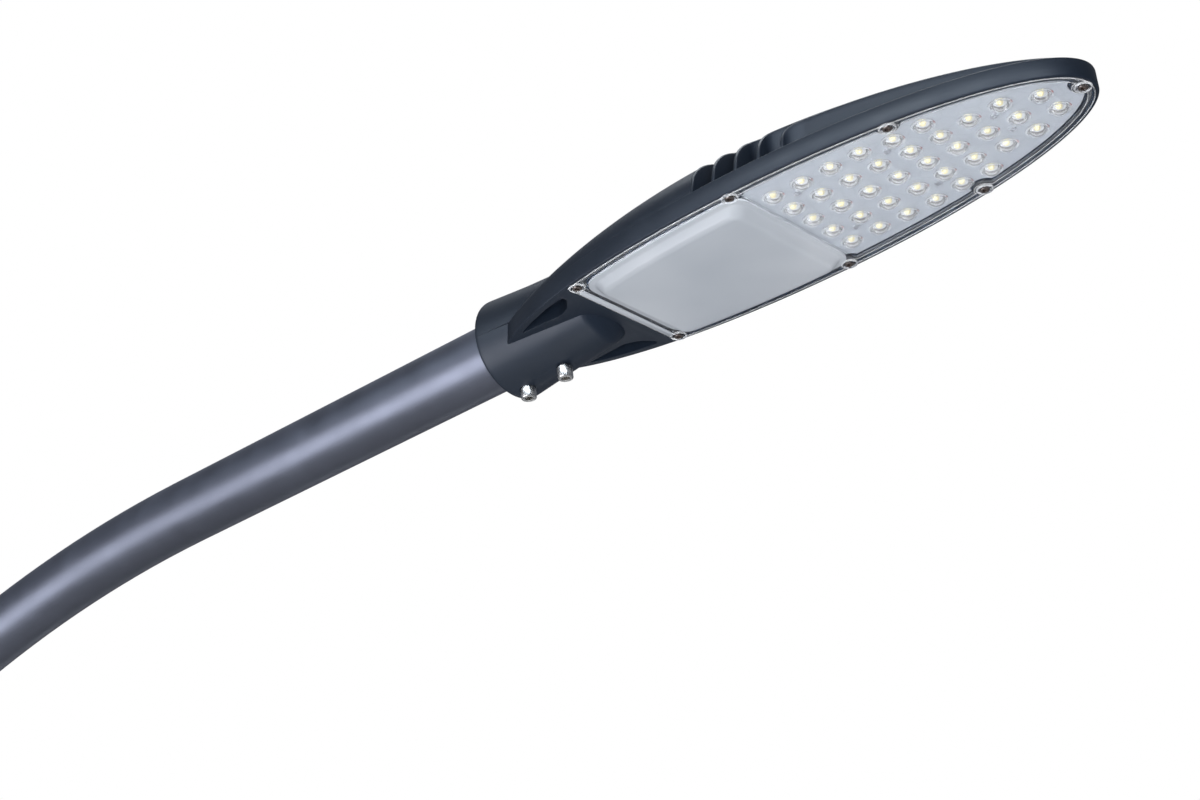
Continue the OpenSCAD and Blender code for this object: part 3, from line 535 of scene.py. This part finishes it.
M = {
    "post_paint": powder_coat("post_paint", (0.085, 0.091, 0.110), 0.45, edge=0.0008, metal=0.5),
    "arm_paint": powder_coat("arm_paint", (0.115, 0.123, 0.152), 0.42, 1100, 0.00006, metal=0.9),
    "head_paint": powder_coat("head_paint", (0.0105, 0.0165, 0.028), 0.42, 1300, 0.0001, edge=0.0006,
                              specular=0.28),
    "galvanised": zinc("galvanised"),
    "stainless": steel("stainless", (0.62, 0.61, 0.59)),
    "brass": steel("brass", (0.55, 0.40, 0.17), 0.3),
    "black_rubber": rubber("black_rubber"),
    "gasket_rubber": rubber("gasket_rubber", (0.05, 0.052, 0.056)),
    "cable_jacket": rubber("cable_jacket", (0.014, 0.014, 0.015), 0.5),
    "dark_plastic": plastic("dark_plastic", (0.025, 0.025, 0.028)),
    "grey_plastic": plastic("grey_plastic", (0.22, 0.235, 0.25)),
    "white_plastic": plastic("white_plastic", (0.62, 0.62, 0.60), 0.4, subsurface=0.02),
    "ivory_plastic": plastic("ivory_plastic", (0.58, 0.54, 0.38)),
    "red_plastic": plastic("red_plastic", (0.22, 0.010, 0.008)),
    "blue_plastic": plastic("blue_plastic", (0.006, 0.02, 0.10), 0.25),
    "wire_blue": plastic("wire_blue", (0.008, 0.03, 0.2), 0.35),
    "wire_red": plastic("wire_red", (0.25, 0.01, 0.008), 0.35),
    "wire_earth": plastic("wire_earth", (0.12, 0.25, 0.01), 0.35),
    "board_white": board_mask("board_white"),
    "phosphor": plastic("phosphor", (0.52, 0.455, 0.22), 0.5, 2500, 0.00003),
    "clear_cover": clear_polycarbonate("clear_cover"),
}
LENS = lens_plastic("lens_plastic")
# Paler, less clear plastic for the cover's edges and bosses: a painted highlight standing in for the bright lines
# where clear edges catch light.
MILKY_PAINTED_HIGHLIGHT = lens_plastic("milky_edge_painted_highlight", (0.74, 0.84))
# Darkened steel for the cover's screws: painted shade standing in for the deep recesses they sit in.
SCREW_PAINTED_SHADE = steel("screw_painted_shade", (0.20, 0.17, 0.155))
FROSTED = frosted_polycarbonate("frosted_cover")
RED_MARK = plastic("red_mark", (0.16, 0.012, 0.010), 0.4)
PLATED = steel("plated_steel", (0.72, 0.72, 0.74), 0.5)

node_slot = {s["node"]: s["material_slot"] for s in frame["record"]["subparts"]}
for node, obj in frame["nodes"].items():
    obj.data.materials.clear()
    obj.data.materials.append(PLATED if node == "board_screws" else M[node_slot[node]])


# ------------------------------------------------------------------ lamp head housing

def plan_prism(inset, z0, z1, x_min=None, x_max=None, bite=None):
    """The rim's plan as a prism, cut off in x and bitten at the cover's screws."""
    obj = raw_object(prism(outline(inset), z0, z1))
    if x_min is not None:
        keep(obj, block((x_min, -BLOCK_Y, z0 - 5), (x_max or HEAD_L + BLOCK_Y, BLOCK_Y, z1 + 5)))
    if bite:
        for x, y in SCREWS:
            cut(obj, cylinder(x, y, bite, z0 - 5, z1 + 5))
    return obj


def dome_solid(inset, drop_z, x0, x1, nx=80, ny=56):
    """The top envelope as a solid, drawn in at the sides and lowered."""
    rings = []
    for i in range(nx + 1):
        x = lerp(x0, x1, i / nx)
        w, h = rim_y(x) - inset, max(0.6, spine_h(x) - drop_z)
        ring = []
        for j in range(ny + 1):
            a = math.pi * j / ny
            c = math.cos(a)
            ring.append((x, w * math.copysign(abs(c) ** (2 / DOME_POWER), c), RIM_TOP + h * math.sin(a)))
        ring += [(x, -w, RIM_TOP - 4), (x, w, RIM_TOP - 4)]
        rings.append(ring)
    return loft(rings)


def fin_path(k, side, n_turn=12, n_run=60):
    """Fin k in plan: inwards from the rim, round a turn and on to the tip."""
    x0 = FIN_X0 + k * FIN_STEP
    xt = x0 + FIN_TURN
    y_turn = rim_y(xt) - FIN_INSETS[k]
    y_start = y_turn + FIN_TURN * 0.6
    path = [(x0, lerp(rim_y(x0) - 1, y_start, i / 8)) for i in range(9)]
    for i in range(1, n_turn):
        a = math.pi / 2 * i / n_turn
        path.append((xt - FIN_TURN * math.cos(a), y_turn + FIN_TURN * 0.6 * (1 - math.sin(a))))
    for i in range(n_run + 1):
        x = lerp(xt, FIN_END_X, i / n_run)
        y = rim_y(x) - FIN_INSETS[k]
        if y > 2:
            path.append((x, y))
    return [(x, side * y) for x, y in path]


def fin_solid(path, thickness, foot_z=-5.0):
    """A cast fin with drafted sides and a rounded top that follows the envelope."""
    rings = []
    last = len(path) - 1
    for i, (x, y) in enumerate(path):
        tx = path[min(i + 1, last)][0] - path[max(i - 1, 0)][0]
        ty = path[min(i + 1, last)][1] - path[max(i - 1, 0)][1]
        length = math.hypot(tx, ty)
        nx, ny = -ty / length, tx / length
        half = thickness / 2
        z = max(top_z(x, y), foot_z + 3.2)
        section = [(-half * 1.35, foot_z), (-half * 1.02, max(z - half * 3, foot_z + 0.5))]
        for j in range(7):
            a = math.pi * j / 6
            section.append((-half * math.cos(a), z - half + half * math.sin(a)))
        section += [(half * 1.02, max(z - half * 3, foot_z + 0.5)), (half * 1.35, foot_z)]
        rings.append([(x + nx * d, y + ny * d, h) for d, h in section])
    return loft(rings)


def rounded_polygon(points, r, n=6):
    """A polygon with its corners rounded off by quadratic curves."""
    out = []
    count = len(points)
    for i, p in enumerate(points):
        a, b = Vector(points[i - 1]), Vector(points[(i + 1) % count])
        p = Vector(p)
        pa = p + (a - p).normalized() * min(r, (a - p).length / 2.2)
        pb = p + (b - p).normalized() * min(r, (b - p).length / 2.2)
        for k in range(n + 1):
            t = k / n
            q = pa * (1 - t) ** 2 + p * 2 * t * (1 - t) + pb * t * t
            out.append((q.x, q.y))
    return out


def pocket_points(side):
    """The pocket in a side web, between the collar and the cover."""
    corners = [(50, 42.5), (66, 49.5), (88, 57), (110, 62), (113, 58), (104, 46), (92, 40), (78, 41)]
    return rounded_polygon([(x, side * y) for x, y in corners], 4)


def make_housing():
    """The casting: rim band, back, collar, gear bay, board bed, bores, screw posts and fins."""
    band = [(2.2, -19.0), (0.9, -18.85), (0.3, -18.4), (0.0, -17.6), (0.0, -4.0), (0.25, -3.2),
            (0.9, -2.7), (2.0, -2.5)]
    body = raw_object(loft([[(x, y, z) for x, y in outline(inset)] for inset, z in band]))
    shell = raw_object(dome_solid(2.6, 0, 60, 330))
    first = fin_path(0, 1)[:21]
    plan = ([(60, -100), (FIN_X0, -100)] + [(x, -y) for x, y in first] + first[::-1]
            + [(FIN_X0, 100), (60, 100)])
    keep(shell, prism(plan, -10, 80))
    add(body, shell)
    collar_under = [(42.6, 0), (43.6, 0.5), (44.4, 1.3), (44.8, 2.5), (44.6, 5), (33.9, 101), (33.2, 103.4),
                    (31.0, 106), (26.0, 110), (18.0, 114), (8.0, 116), (0, 117)]
    collar_top = [(42.8, 0), (43.8, 0.5), (44.7, 1.4), (45.0, 2.5), (44.9, 5), (41.8, 45), (39.8, 88),
                  (37.5, 130), (36, 150)]
    add(body, lathe(collar_under, 160, "x"))
    top = raw_object(lathe(collar_top, 160, "x"))
    keep(top, block((-1, -60, -2.6), (150, 60, 60)))
    add(body, top)
    seat = plan_prism(2.6, FACE_Z - 1, SEAT_Z, COVER_X - 0.4)
    cut(body, seat)
    groove = plan_prism(GASKET_INSET - GASKET_PLAY, SEAT_Z - 1, SEAT_Z + GASKET_T,
                        COVER_X + GASKET_INSET - GASKET_PLAY, bite=GASKET_BITE - GASKET_PLAY)
    inner = GASKET_W + GASKET_PLAY
    island = plan_prism(GASKET_INSET + inner, SEAT_Z - 3, SEAT_Z + GASKET_T + 2,
                        COVER_X + GASKET_INSET + inner, bite=GASKET_BITE + inner)
    cut(groove, island)
    cut(body, groove)
    cut(body, plan_prism(BAY_INSET, FACE_Z - 1, RIM_TOP, GEAR_BAY[0], GEAR_BAY[1]))
    cut(body, plan_prism(BAY_INSET, FACE_Z - 1, BAY_ROOF, GEAR_BAY[0], GEAR_BAY[2]))
    hollow = raw_object(dome_solid(8, SHELL_T, 60, 330))
    keep(hollow, plan_prism(BAY_INSET, -4, 70, GEAR_BAY[0], GEAR_BAY[1]))
    cut(body, hollow)
    cut(body, plan_prism(GASKET_INSET + GASKET_W + 1.5, FACE_Z - 1, BED_Z, BOARD_X - 1,
                         bite=GASKET_BITE + GASKET_W + 1.5))
    for side in (-1, 1):
        cut(body, prism(pocket_points(side), FACE_Z - 1, -6))
    cut(body, lathe([(BORE_R + 1.2, -1), (BORE_R + 1.2, 0), (BORE_R, 1.2), (BORE_R, 4), (BORE_R + 2.5, 4),
                     (BORE_R + 2.5, 8), (BORE_R, 8), (BORE_R, 99)], 128, "x"))
    cut(body, lathe([(9, 50), (9, 150)], 48, "x"), lathe([(5, 50), (5, 150)], 32, "x", (0, 0, 18)))
    for x in CLAMP_X:
        cut(body, cylinder(x, 0, 4.05, -60, 0))
    cut(body, cylinder(CLAMP_X[0], 0, 7.4, -60, -42.5))
    for x, y in SCREWS:
        cut(body, cylinder(x, y, 2.1, FACE_Z - 1, FACE_Z + 14, 24))
    for x, y in BOARD_SCREWS:
        cut(body, cylinder(x, y, 1.5, -15, -7, 24))
    for x, y in POSTS:
        add(body, cylinder(x, y, 4, 17.5, 26 if x < 200 else 36.5, 32))
        cut(body, cylinder(x, y, 1.5, 16, 24, 24))
    body.data.transform(HEAD_MM)
    finish_piece(body, "housing_casting", "lamp_head", M["head_paint"], ["housing"], 28)
    fins = [fin_solid(fin_path(k, side), FIN_T) for k in range(len(FIN_INSETS)) for side in (-1, 1)]
    spine = [(lerp(FIN_X0, FIN_END_X + 4, i / 60), 0) for i in range(61)]
    fins.append(fin_solid(spine, FIN_T))
    piece("housing_fins", join_shapes(fins), HEAD_MM, "lamp_head", M["head_paint"],
          ["housing"], 40)


make_housing()

# ------------------------------------------------------------------ lens cover

PAN_X = (135.0, 304.0)
PAN_SIDE = 10.5
PAN_R = 17.0
WINDOW_BACK = 306.0
WINDOW_Z = (-18.2, -16.4)
CUT_Z = (-25.0, -10.0)
COVER_GAP = 0.1
SCREW_HEAD_R = 4.0
SCREW_SEAT_Z = -18.0
BOSS_R = 6.8
CAVITY_R = 5.6
BOARD_Z = -15.0


def pan_ring(inset, z, n=12, run=24):
    """A ring of the pan: its long sides follow the rim, its ends are square and its corners round."""
    r = max(PAN_R - inset * 0.7, 3.0)
    x0, x1 = PAN_X[0] + inset, PAN_X[1] - inset

    def side_y(x):
        return rim_y(x) - PAN_SIDE - inset

    def corner(p, q, s):
        return [tuple(p[k] * (1 - t) ** 2 + q[k] * 2 * t * (1 - t) + s[k] * t * t for k in (0, 1))
                for t in (i / n for i in range(n + 1))]

    half = [(lerp(x0 + r, x1 - r, i / run), side_y(lerp(x0 + r, x1 - r, i / run))) for i in range(run)]
    half += corner((x1 - r, side_y(x1 - r)), (x1, side_y(x1)), (x1, side_y(x1) - r))
    front = [(x, -y) for x, y in half]
    rear = corner((x0, -side_y(x0) + r), (x0, -side_y(x0)), (x0 + r, -side_y(x0 + r)))[:-1]
    return [(x, y, z) for x, y in rear + front + half[::-1] + [(x, -y) for x, y in rear[::-1]]]


def crowned(inset):
    """Depth of the pan's slightly domed bottom at an inset."""
    return -28.0 - 1.4 * (1 - math.exp(-(inset - 15) / 16))


def make_pan():
    """The frosted pan under the gear bay: a tray with sloping walls, and the strip behind it."""
    outer_wall = [(0, -16.6), (0, -18.9), (0.15, -19.3), (0.5, -19.5), (3.8, -19.6), (4.8, -19.9),
                  (5.8, -20.7), (9.4, -25.4), (10.4, -26.5), (11.6, -27.3), (13.0, -27.8), (15.0, -28.0)]
    inner_wall = [(2.2, -16.6), (2.2, -17.2), (5.2, -17.5), (6.8, -18.2), (8.0, -19.4), (11.4, -23.8),
                  (12.6, -25.0), (14.2, -25.7), (17.0, -25.9)]
    floor_insets = (19, 24, 30, 38, 46, 53)
    outer = [pan_ring(i, z) for i, z in outer_wall] + [pan_ring(i, crowned(i)) for i in floor_insets]
    inner = [pan_ring(i, z) for i, z in inner_wall] + [pan_ring(i, crowned(i) + 2.1) for i in floor_insets]
    ridge = [rounded_polygon([(126 + e, e - 58), (131 - e, e - 58), (131 - e, 58 - e), (126 + e, 58 - e)], 2)
             for e in (0, 0, 0.5)]
    ridge = loft([[(x, y, z) for x, y in ring] for ring, z in zip(ridge, (-18.6, -19.9, -20.4))])
    piece("cover_pan", join_shapes([loft(outer[::-1] + inner), ridge]), HEAD_MM, "cover", FROSTED,
          ["lens_cover"], 50)


def make_cover_plate():
    """The clear cover, which stops a hair short of its gasket."""
    low, high = CUT_Z
    edge = [(3.2, SEAT_Z - COVER_GAP), (3.2, -18.2), (3.4, -18.7), (3.9, -19.0)]
    boss = [(BOSS_R, -18.5), (BOSS_R, -19.4), (BOSS_R - 0.4, -19.9), (BOSS_R - 1, -20.1)]
    plate = raw_object(loft([[(x, y, z) for x, y in outline(i)] for i, z in edge]))
    keep(plate, block((COVER_X, -BLOCK_Y, -40), (HEAD_L + BLOCK_Y, BLOCK_Y, 0)))
    for x, y in SCREWS:
        add(plate, lathe(boss, 40, centre=(x, y, 0)))
    cut(plate, loft([pan_ring(0.02, low), pan_ring(0.02, high)]))
    cut(plate, plan_prism(9.2, low, WINDOW_Z[0], WINDOW_BACK, bite=BOSS_R + 1.6))
    cut(plate, plan_prism(10.3, WINDOW_Z[1], high, WINDOW_BACK - 4, bite=BOSS_R + 3.2))
    cut(plate, join_shapes([cylinder(x, y, CAVITY_R, low, high, 32) for x, y in LENSES]))
    for x, y in SCREWS:
        cut(plate, cylinder(x, y, 2.4, low, high, 24))
        cut(plate, cylinder(x, y, SCREW_HEAD_R + 0.7, low, SCREW_SEAT_Z, 32))
    plate.data.transform(HEAD_MM)
    finish_piece(plate, "cover_plate", "cover", M["clear_cover"], ["lens_cover"], 30)


def make_edges():
    """The cover's moulded edges, which gather light: its rim, the window's border and the screw bosses. Their
    paler, less clear plastic is a painted highlight for the bright lines that these clear edges catch.
    """
    edge = plan_prism(3.25, -19.2, -18.7, COVER_X)
    cut(edge, plan_prism(4.0, -20, -18, COVER_X + 0.75))
    border = plan_prism(8.8, -19.15, -18.9, WINDOW_BACK, bite=BOSS_R + 1.2)
    cut(border, plan_prism(9.5, -20, -18, WINDOW_BACK - 5, bite=BOSS_R + 1.9))
    section = [(5.6, -20.0), (5.6, -18.9), (7.1, -18.9), (7.0, -19.6), (6.6, -20.2), (6.1, -20.3)]
    bosses = [hoop(section, x, y, 40) for x, y in SCREWS]
    merge([edge, border])
    edge.data.transform(HEAD_MM)
    finish_piece(edge, "cover_edges", "cover", MILKY_PAINTED_HIGHLIGHT, ["lens_cover"], 40)
    piece("cover_bosses", join_shapes(bosses), HEAD_MM, "cover", MILKY_PAINTED_HIGHLIGHT, ["lens_cover"], 40)


def lens_shape(cx, cy, rings=12, sides=40):
    """One moulded lens: a flat step round an egg-shaped dome, hollow over its light source."""
    step = [(9.5, 0.15), (9.5, -0.35), (9.2, -0.6), (8.6, -0.7), (8.3, -0.6)]
    dome_r, dome_h, dome_lean, dome_egg = 7.7, 4.6, -1.4, 0.45
    cavity_h = 3.6
    base = WINDOW_Z[0]
    verts, faces, rows = [], [], []

    def row(r, z, lean=0.0, egg=0.0):
        start = len(verts)
        for i in range(sides):
            a = TAU * i / sides
            reach = r + egg * math.cos(2 * a)
            verts.append((cx + reach * math.cos(a) + lean, cy + reach * math.sin(a), base + z))
        rows.append(range(start, start + sides))

    for k in range(1, rings):
        t = k / rings
        row(CAVITY_R * t, -cavity_h * (1 - t ** 2.4) ** 0.6)
    row(CAVITY_R, step[0][1])
    for r, z in step:
        row(r, z)
    for k in range(rings):
        t = 1 - k / rings
        row(dome_r * t, -0.45 - dome_h * (1 - t ** 2.7) ** 0.62, dome_lean * (1 - t), dome_egg * t)
    for a, b in zip(rows, rows[1:]):
        for i in range(sides):
            j = (i + 1) % sides
            faces.append((a[i], a[j], b[j], b[i]))
    faces.append(tuple(reversed(rows[0])))
    faces.append(tuple(rows[-1]))
    return verts, faces


def make_lenses():
    """All the cover's lenses as one piece."""
    piece("cover_lenses", join_shapes([lens_shape(x, y) for x, y in LENSES]), HEAD_MM, "cover", LENS,
          ["lens_cover"], 50)


def make_leds():
    """Each LED is a pale square carrier with a yellow phosphor dome on it and a red mark beside it."""
    half, z = 2.5, BOARD_Z
    dome = [(2.7, z - 0.4), (2.7, z - 1.2), (2.5, z - 2.0), (2.0, z - 2.7), (1.2, z - 3.2), (0, z - 3.4)]
    dot = [(1.3, z + 0.05), (1.3, z - 0.3), (1.0, z - 0.5), (0, z - 0.55)]
    carriers, lights, marks = [], [], []
    for x, y in LENSES:
        square = [(x - half, y - half), (x + half, y - half), (x + half, y + half), (x - half, y + half)]
        carriers.append(prism(rounded_polygon(square, 0.5, 3), z - 0.45, z + 0.05))
        lights.append(lathe(dome, 28, centre=(x, y, 0)))
        marks.append(lathe(dot, 16, centre=(x + 6.0, y + 5.2, 0)))
    for name, shapes, mat in (("led_carriers", carriers, M["ivory_plastic"]),
                              ("led_phosphors", lights, M["phosphor"]), ("led_marks", marks, RED_MARK)):
        piece(name, join_shapes(shapes), HEAD_MM, "lamp_head", mat, ["led_chips"], 32)


def socket_screw(x, y, z_seat, head_r, head_h, shank_r, z_top, hex_r, depth, sides=48):
    """A socket-head screw that opens downwards, with eased edges and a hexagon socket."""
    ease = head_r * 0.1
    foot = z_seat - head_h
    profile = [(0, foot), (head_r - ease * 1.6, foot), (head_r - ease * 0.5, foot + ease * 0.4),
               (head_r, foot + ease * 1.3), (head_r, z_seat), (shank_r, z_seat),
               (shank_r, z_top - 0.6), (shank_r - 0.6, z_top), (0, z_top)]
    obj = raw_object(lathe(profile, sides, centre=(x, y, 0)))
    hexagon = [(x + hex_r * math.cos(TAU * i / 6), y + hex_r * math.sin(TAU * i / 6)) for i in range(6)]
    cut(obj, prism(hexagon, foot - 1, foot + depth))
    cut(obj, lathe([(hex_r * 1.12, foot - 0.1), (hex_r * 0.86, foot + hex_r * 0.12)], 32, centre=(x, y, 0)))
    return obj


def make_screws():
    """The two clamping screws under the collar and the cover's own screws."""
    head_h = 10
    for place, x, foot in zip(("rear", "front"), CLAMP_X, CLAMP_FOOT):
        obj = socket_screw(x, 0, foot + head_h, 6.6, head_h, 4.0, -30.25, 3.6, 6)
        obj.data.transform(HEAD_MM)
        finish_piece(obj, "set_screw_" + place + "_detail", "clamp_" + place, M["stainless"],
                     ["set_screw_" + place], 30)
    # The cover's screws take the darkened steel, a painted shade for their recesses.
    screws = merge([socket_screw(x, y, SCREW_SEAT_Z, SCREW_HEAD_R, 2.6, 2.0, -8, 2.0, 1.6, 32)
                    for x, y in SCREWS])
    screws.data.transform(HEAD_MM)
    finish_piece(screws, "cover_screws_detail", "cover", SCREW_PAINTED_SHADE, ["cover_screws"], 30)


make_pan()
make_cover_plate()
make_edges()
make_lenses()
make_leds()
make_screws()

# ------------------------------------------------------------------ arm

ARM_R = 30.15
ARM_WALL = 3.2
ARM_STEPS = 110
SPIGOT_L = 95.0
arm_foot = Vector(JOINTS["arm_slew"]["pos_m"]) / MM
arm_rise = math.asin(head_x.z)
reach = head_origin.x / MM - arm_foot.x
climb = head_origin.z / MM - arm_foot.z
# The bend radius and the straight length meet the collar's place: two equations, two unknowns
sin_r, cos_r = math.sin(arm_rise), math.cos(arm_rise)
BEND_R = (reach * sin_r - climb * cos_r) / ((1 - sin_r) * sin_r - cos_r * cos_r)
STRAIGHT = (reach - BEND_R * (1 - sin_r)) / cos_r


def arm_point(s):
    """Place and direction on the arm's centre line at a distance from its foot."""
    sweep = math.pi / 2 - arm_rise
    arc = BEND_R * sweep
    a = math.pi / 2 - min(s, arc) / BEND_R
    place = Vector((BEND_R * (1 - math.sin(a)), 0, arm_foot.z + BEND_R * math.cos(a)))
    way = Vector((math.cos(a), 0, math.sin(a)))
    return place + way * max(0.0, s - arc), way


def tube_rings(s_values, radii, sides=96):
    """Rings of given radii round the arm's centre line, at distances from its foot."""
    rings = []
    for s, r in zip(s_values, radii):
        place, way = arm_point(s)
        side = Vector((0, 1, 0))
        up = side.cross(way)
        rings.append([tuple(place + r * (math.cos(TAU * i / sides) * side + math.sin(TAU * i / sides) * up))
                      for i in range(sides)])
    return rings


def make_arm():
    """The bent tube, with its wall, its bore and eased ends."""
    length = BEND_R * (math.pi / 2 - arm_rise) + STRAIGHT + SPIGOT_L
    stations = [length * i / ARM_STEPS for i in range(1, ARM_STEPS)]
    stations = [0.0, 0.6] + stations + [length - 0.8, length]
    outer = [ARM_R - 0.5] + [ARM_R] * (len(stations) - 2) + [ARM_R - 0.8]
    back = stations[::-1]
    inner = [ARM_R - ARM_WALL] * len(back)
    tube = loop(tube_rings(stations + back, outer + inner))
    piece("arm_tube_detail", tube, WORLD_MM, "arm", M["arm_paint"], ["arm_tube"], 40)


make_arm()

# ------------------------------------------------------------------ the column's weld beads

BASE_R = 69.85
PLATE_T = 16.0
BASE_TOP = 1016.0
SHAFT_R = 38.05
SHOULDER_H = 96.0
REDUCER_H = 50.0
BEAD_ROOT = 0.8


def weld_bead(name, r, z, leg, body, ripples, n=360):
    """A fillet weld round a tube: a convex bead with the ripples of its passes."""
    rings = []
    for i in range(n):
        a = TAU * i / n
        size = leg * (1 + 0.06 * math.cos(a * ripples) + 0.03 * math.sin(a * 7))
        section = [(r - BEAD_ROOT, z - BEAD_ROOT), (r + size, z - BEAD_ROOT)]
        for j in range(6):
            t = j / 5
            bulge = 1 + 0.18 * math.sin(math.pi * t)
            section.append((r + size * (1 - t) * bulge, z + size * t * bulge))
        section.append((r - BEAD_ROOT, z + size))
        rings.append([(d * math.cos(a), d * math.sin(a), h) for d, h in section])
    paint = "arm_paint" if body == "arm" else "post_paint"
    piece(name, loop(rings), WORLD_MM, body, M[paint], (), 60)


weld_bead("base_plate_weld", BASE_R, PLATE_T, 6.5, "post", 90)
weld_bead("base_top_weld", BASE_R - 1.4, BASE_TOP, 2.4, "post", 90)
weld_bead("shaft_weld", SHAFT_R, BASE_TOP + SHOULDER_H, 3.8, "post", 60)
weld_bead("arm_weld", ARM_R, arm_foot.z + REDUCER_H, 4.2, "arm", 50)

# ------------------------------------------------------------------ camera, light and stage

CAMERA_OFFSET = Vector((1326.1, -1437.0, -804.9)) * MM
BACK = Vector((0.6046, -0.7093, -0.3624)).normalized()
RIGHT = Vector((0.7610, 0.6488, 0.0)).normalized()
UP = BACK.cross(RIGHT)


def make_camera():
    """The photograph's view, found from the lamp head's outline."""
    data = bpy.data.cameras.new("camera")
    data.lens = 74.3
    data.sensor_width = 36
    data.clip_end = 200
    camera = bpy.data.objects.new("camera", data)
    turn = Matrix((RIGHT, UP, BACK)).transposed().to_4x4()
    camera.matrix_world = Matrix.Translation(head_origin + CAMERA_OFFSET) @ turn
    bpy.context.scene.collection.objects.link(camera)
    bpy.context.scene.camera = camera


def area_light(name, place, target, size, power, colour=(1, 1, 1)):
    """A rectangular light at a place, turned to a target and unseen by the camera."""
    data = bpy.data.lights.new(name, "AREA")
    data.shape = "RECTANGLE"
    data.size, data.size_y = size
    data.energy = power
    data.color = colour
    light = bpy.data.objects.new(name, data)
    light.visible_camera = False
    turn = (target - place).to_track_quat("-Z", "Y").to_matrix().to_4x4()
    light.matrix_world = Matrix.Translation(place) @ turn
    bpy.context.scene.collection.objects.link(light)
    return light


def light_head():
    """Soft lights for the lamp head and the arm. Some draw only highlights, or none."""
    front = area_light("front", head_origin + CAMERA_OFFSET + BACK * 1.6, head_origin, (1.2, 1.2), 105)
    front.visible_glossy = False
    key = area_light("key", head_origin + Vector((0.9, -3.0, 1.3)), head_origin + Vector((0.25, 0, 0)),
                     (5.4, 1.3), 210, (0.80, 0.90, 1.0))
    key.visible_diffuse = False
    area_light("top", head_origin + Vector((-0.3, 0.3, 3.0)), head_origin, (2.4, 2.4), 90, (0.88, 0.94, 1.0))
    # A long strip parallel to the arm, which draws the soft highlight along its middle
    arm_mid = head_origin + Vector((-0.8, 0.0, -0.42))
    strip = area_light("strip", arm_mid + Vector((-0.28, -2.75, -1.15)), arm_mid, (3.4, 2.4), 170,
                       (0.93, 0.94, 1.0))
    strip.visible_diffuse = False
    area_light("under", head_origin + Vector((0.32, -0.15, -0.95)), head_origin + Vector((0.32, 0, 0)),
               (0.7, 0.7), 2.4, (0.97, 0.98, 1.0))


def light_column():
    """Lights for the floor and the column, narrow so that little of them reaches the lamp head."""
    area_light("down_light", Vector((0.8, -0.6, 4.2)), Vector((0.8, -0.6, 0.0)), (7.0, 7.0), 85)
    for name, place, power in (("column_front", (2.0, -4.2, 1.6), 18), ("column_left", (-3.6, -2.2, 1.8), 10),
                               ("column_back", (-1.5, 4.2, 1.6), 15)):
        light = area_light(name, Vector(place), Vector((0, 0, 1.4)), (1.2, 3.0), power, (0.97, 0.98, 1.0))
        light.data.spread = math.radians(70)


def make_world():
    """White where the camera sees it, and a faint blue-grey light for everything else."""
    world = bpy.data.worlds.new("studio")
    world.use_nodes = True
    bpy.context.scene.world = world
    tree = world.node_tree
    seen = tree.nodes["Background"]
    seen.inputs["Color"].default_value = (1, 1, 1, 1)
    seen.inputs["Strength"].default_value = 1.0
    lit = tree.nodes.new("ShaderNodeBackground")
    lit.inputs["Color"].default_value = (0.80, 0.86, 1.0, 1)
    lit.inputs["Strength"].default_value = 0.2
    mixer = tree.nodes.new("ShaderNodeMixShader")
    path = tree.nodes.new("ShaderNodeLightPath")
    tree.links.new(path.outputs["Is Camera Ray"], mixer.inputs["Fac"])
    tree.links.new(lit.outputs[0], mixer.inputs[1])
    tree.links.new(seen.outputs[0], mixer.inputs[2])
    tree.links.new(mixer.outputs[0], tree.nodes["World Output"].inputs["Surface"])


def make_floor():
    """A plain pale floor. It is lifted for the camera alone, by a glow that lights nothing."""
    half, z = 12, -0.0005
    surface = plastic("floor_pale", (0.80, 0.80, 0.79), 0.75, 90, 0.00004)
    tree = surface.node_tree
    shader = tree.nodes["Principled BSDF"]
    shader.inputs["Emission Color"].default_value = (0.97, 0.98, 1.0, 1)
    glow = tree.nodes.new("ShaderNodeMath")
    glow.operation = "MULTIPLY"
    glow.inputs[1].default_value = 0.3
    path = tree.nodes.new("ShaderNodeLightPath")
    tree.links.new(path.outputs["Is Camera Ray"], glow.inputs[0])
    tree.links.new(glow.outputs[0], shader.inputs["Emission Strength"])
    floor = raw_object(([(-half, -half, z), (half, -half, z), (half, half, z), (-half, half, z)],
                        [(0, 1, 2, 3)]), name="floor")
    floor.data.materials.append(surface)


make_camera()
light_head()
light_column()
make_world()
make_floor()
bpy.context.scene.view_settings.view_transform = "Standard"
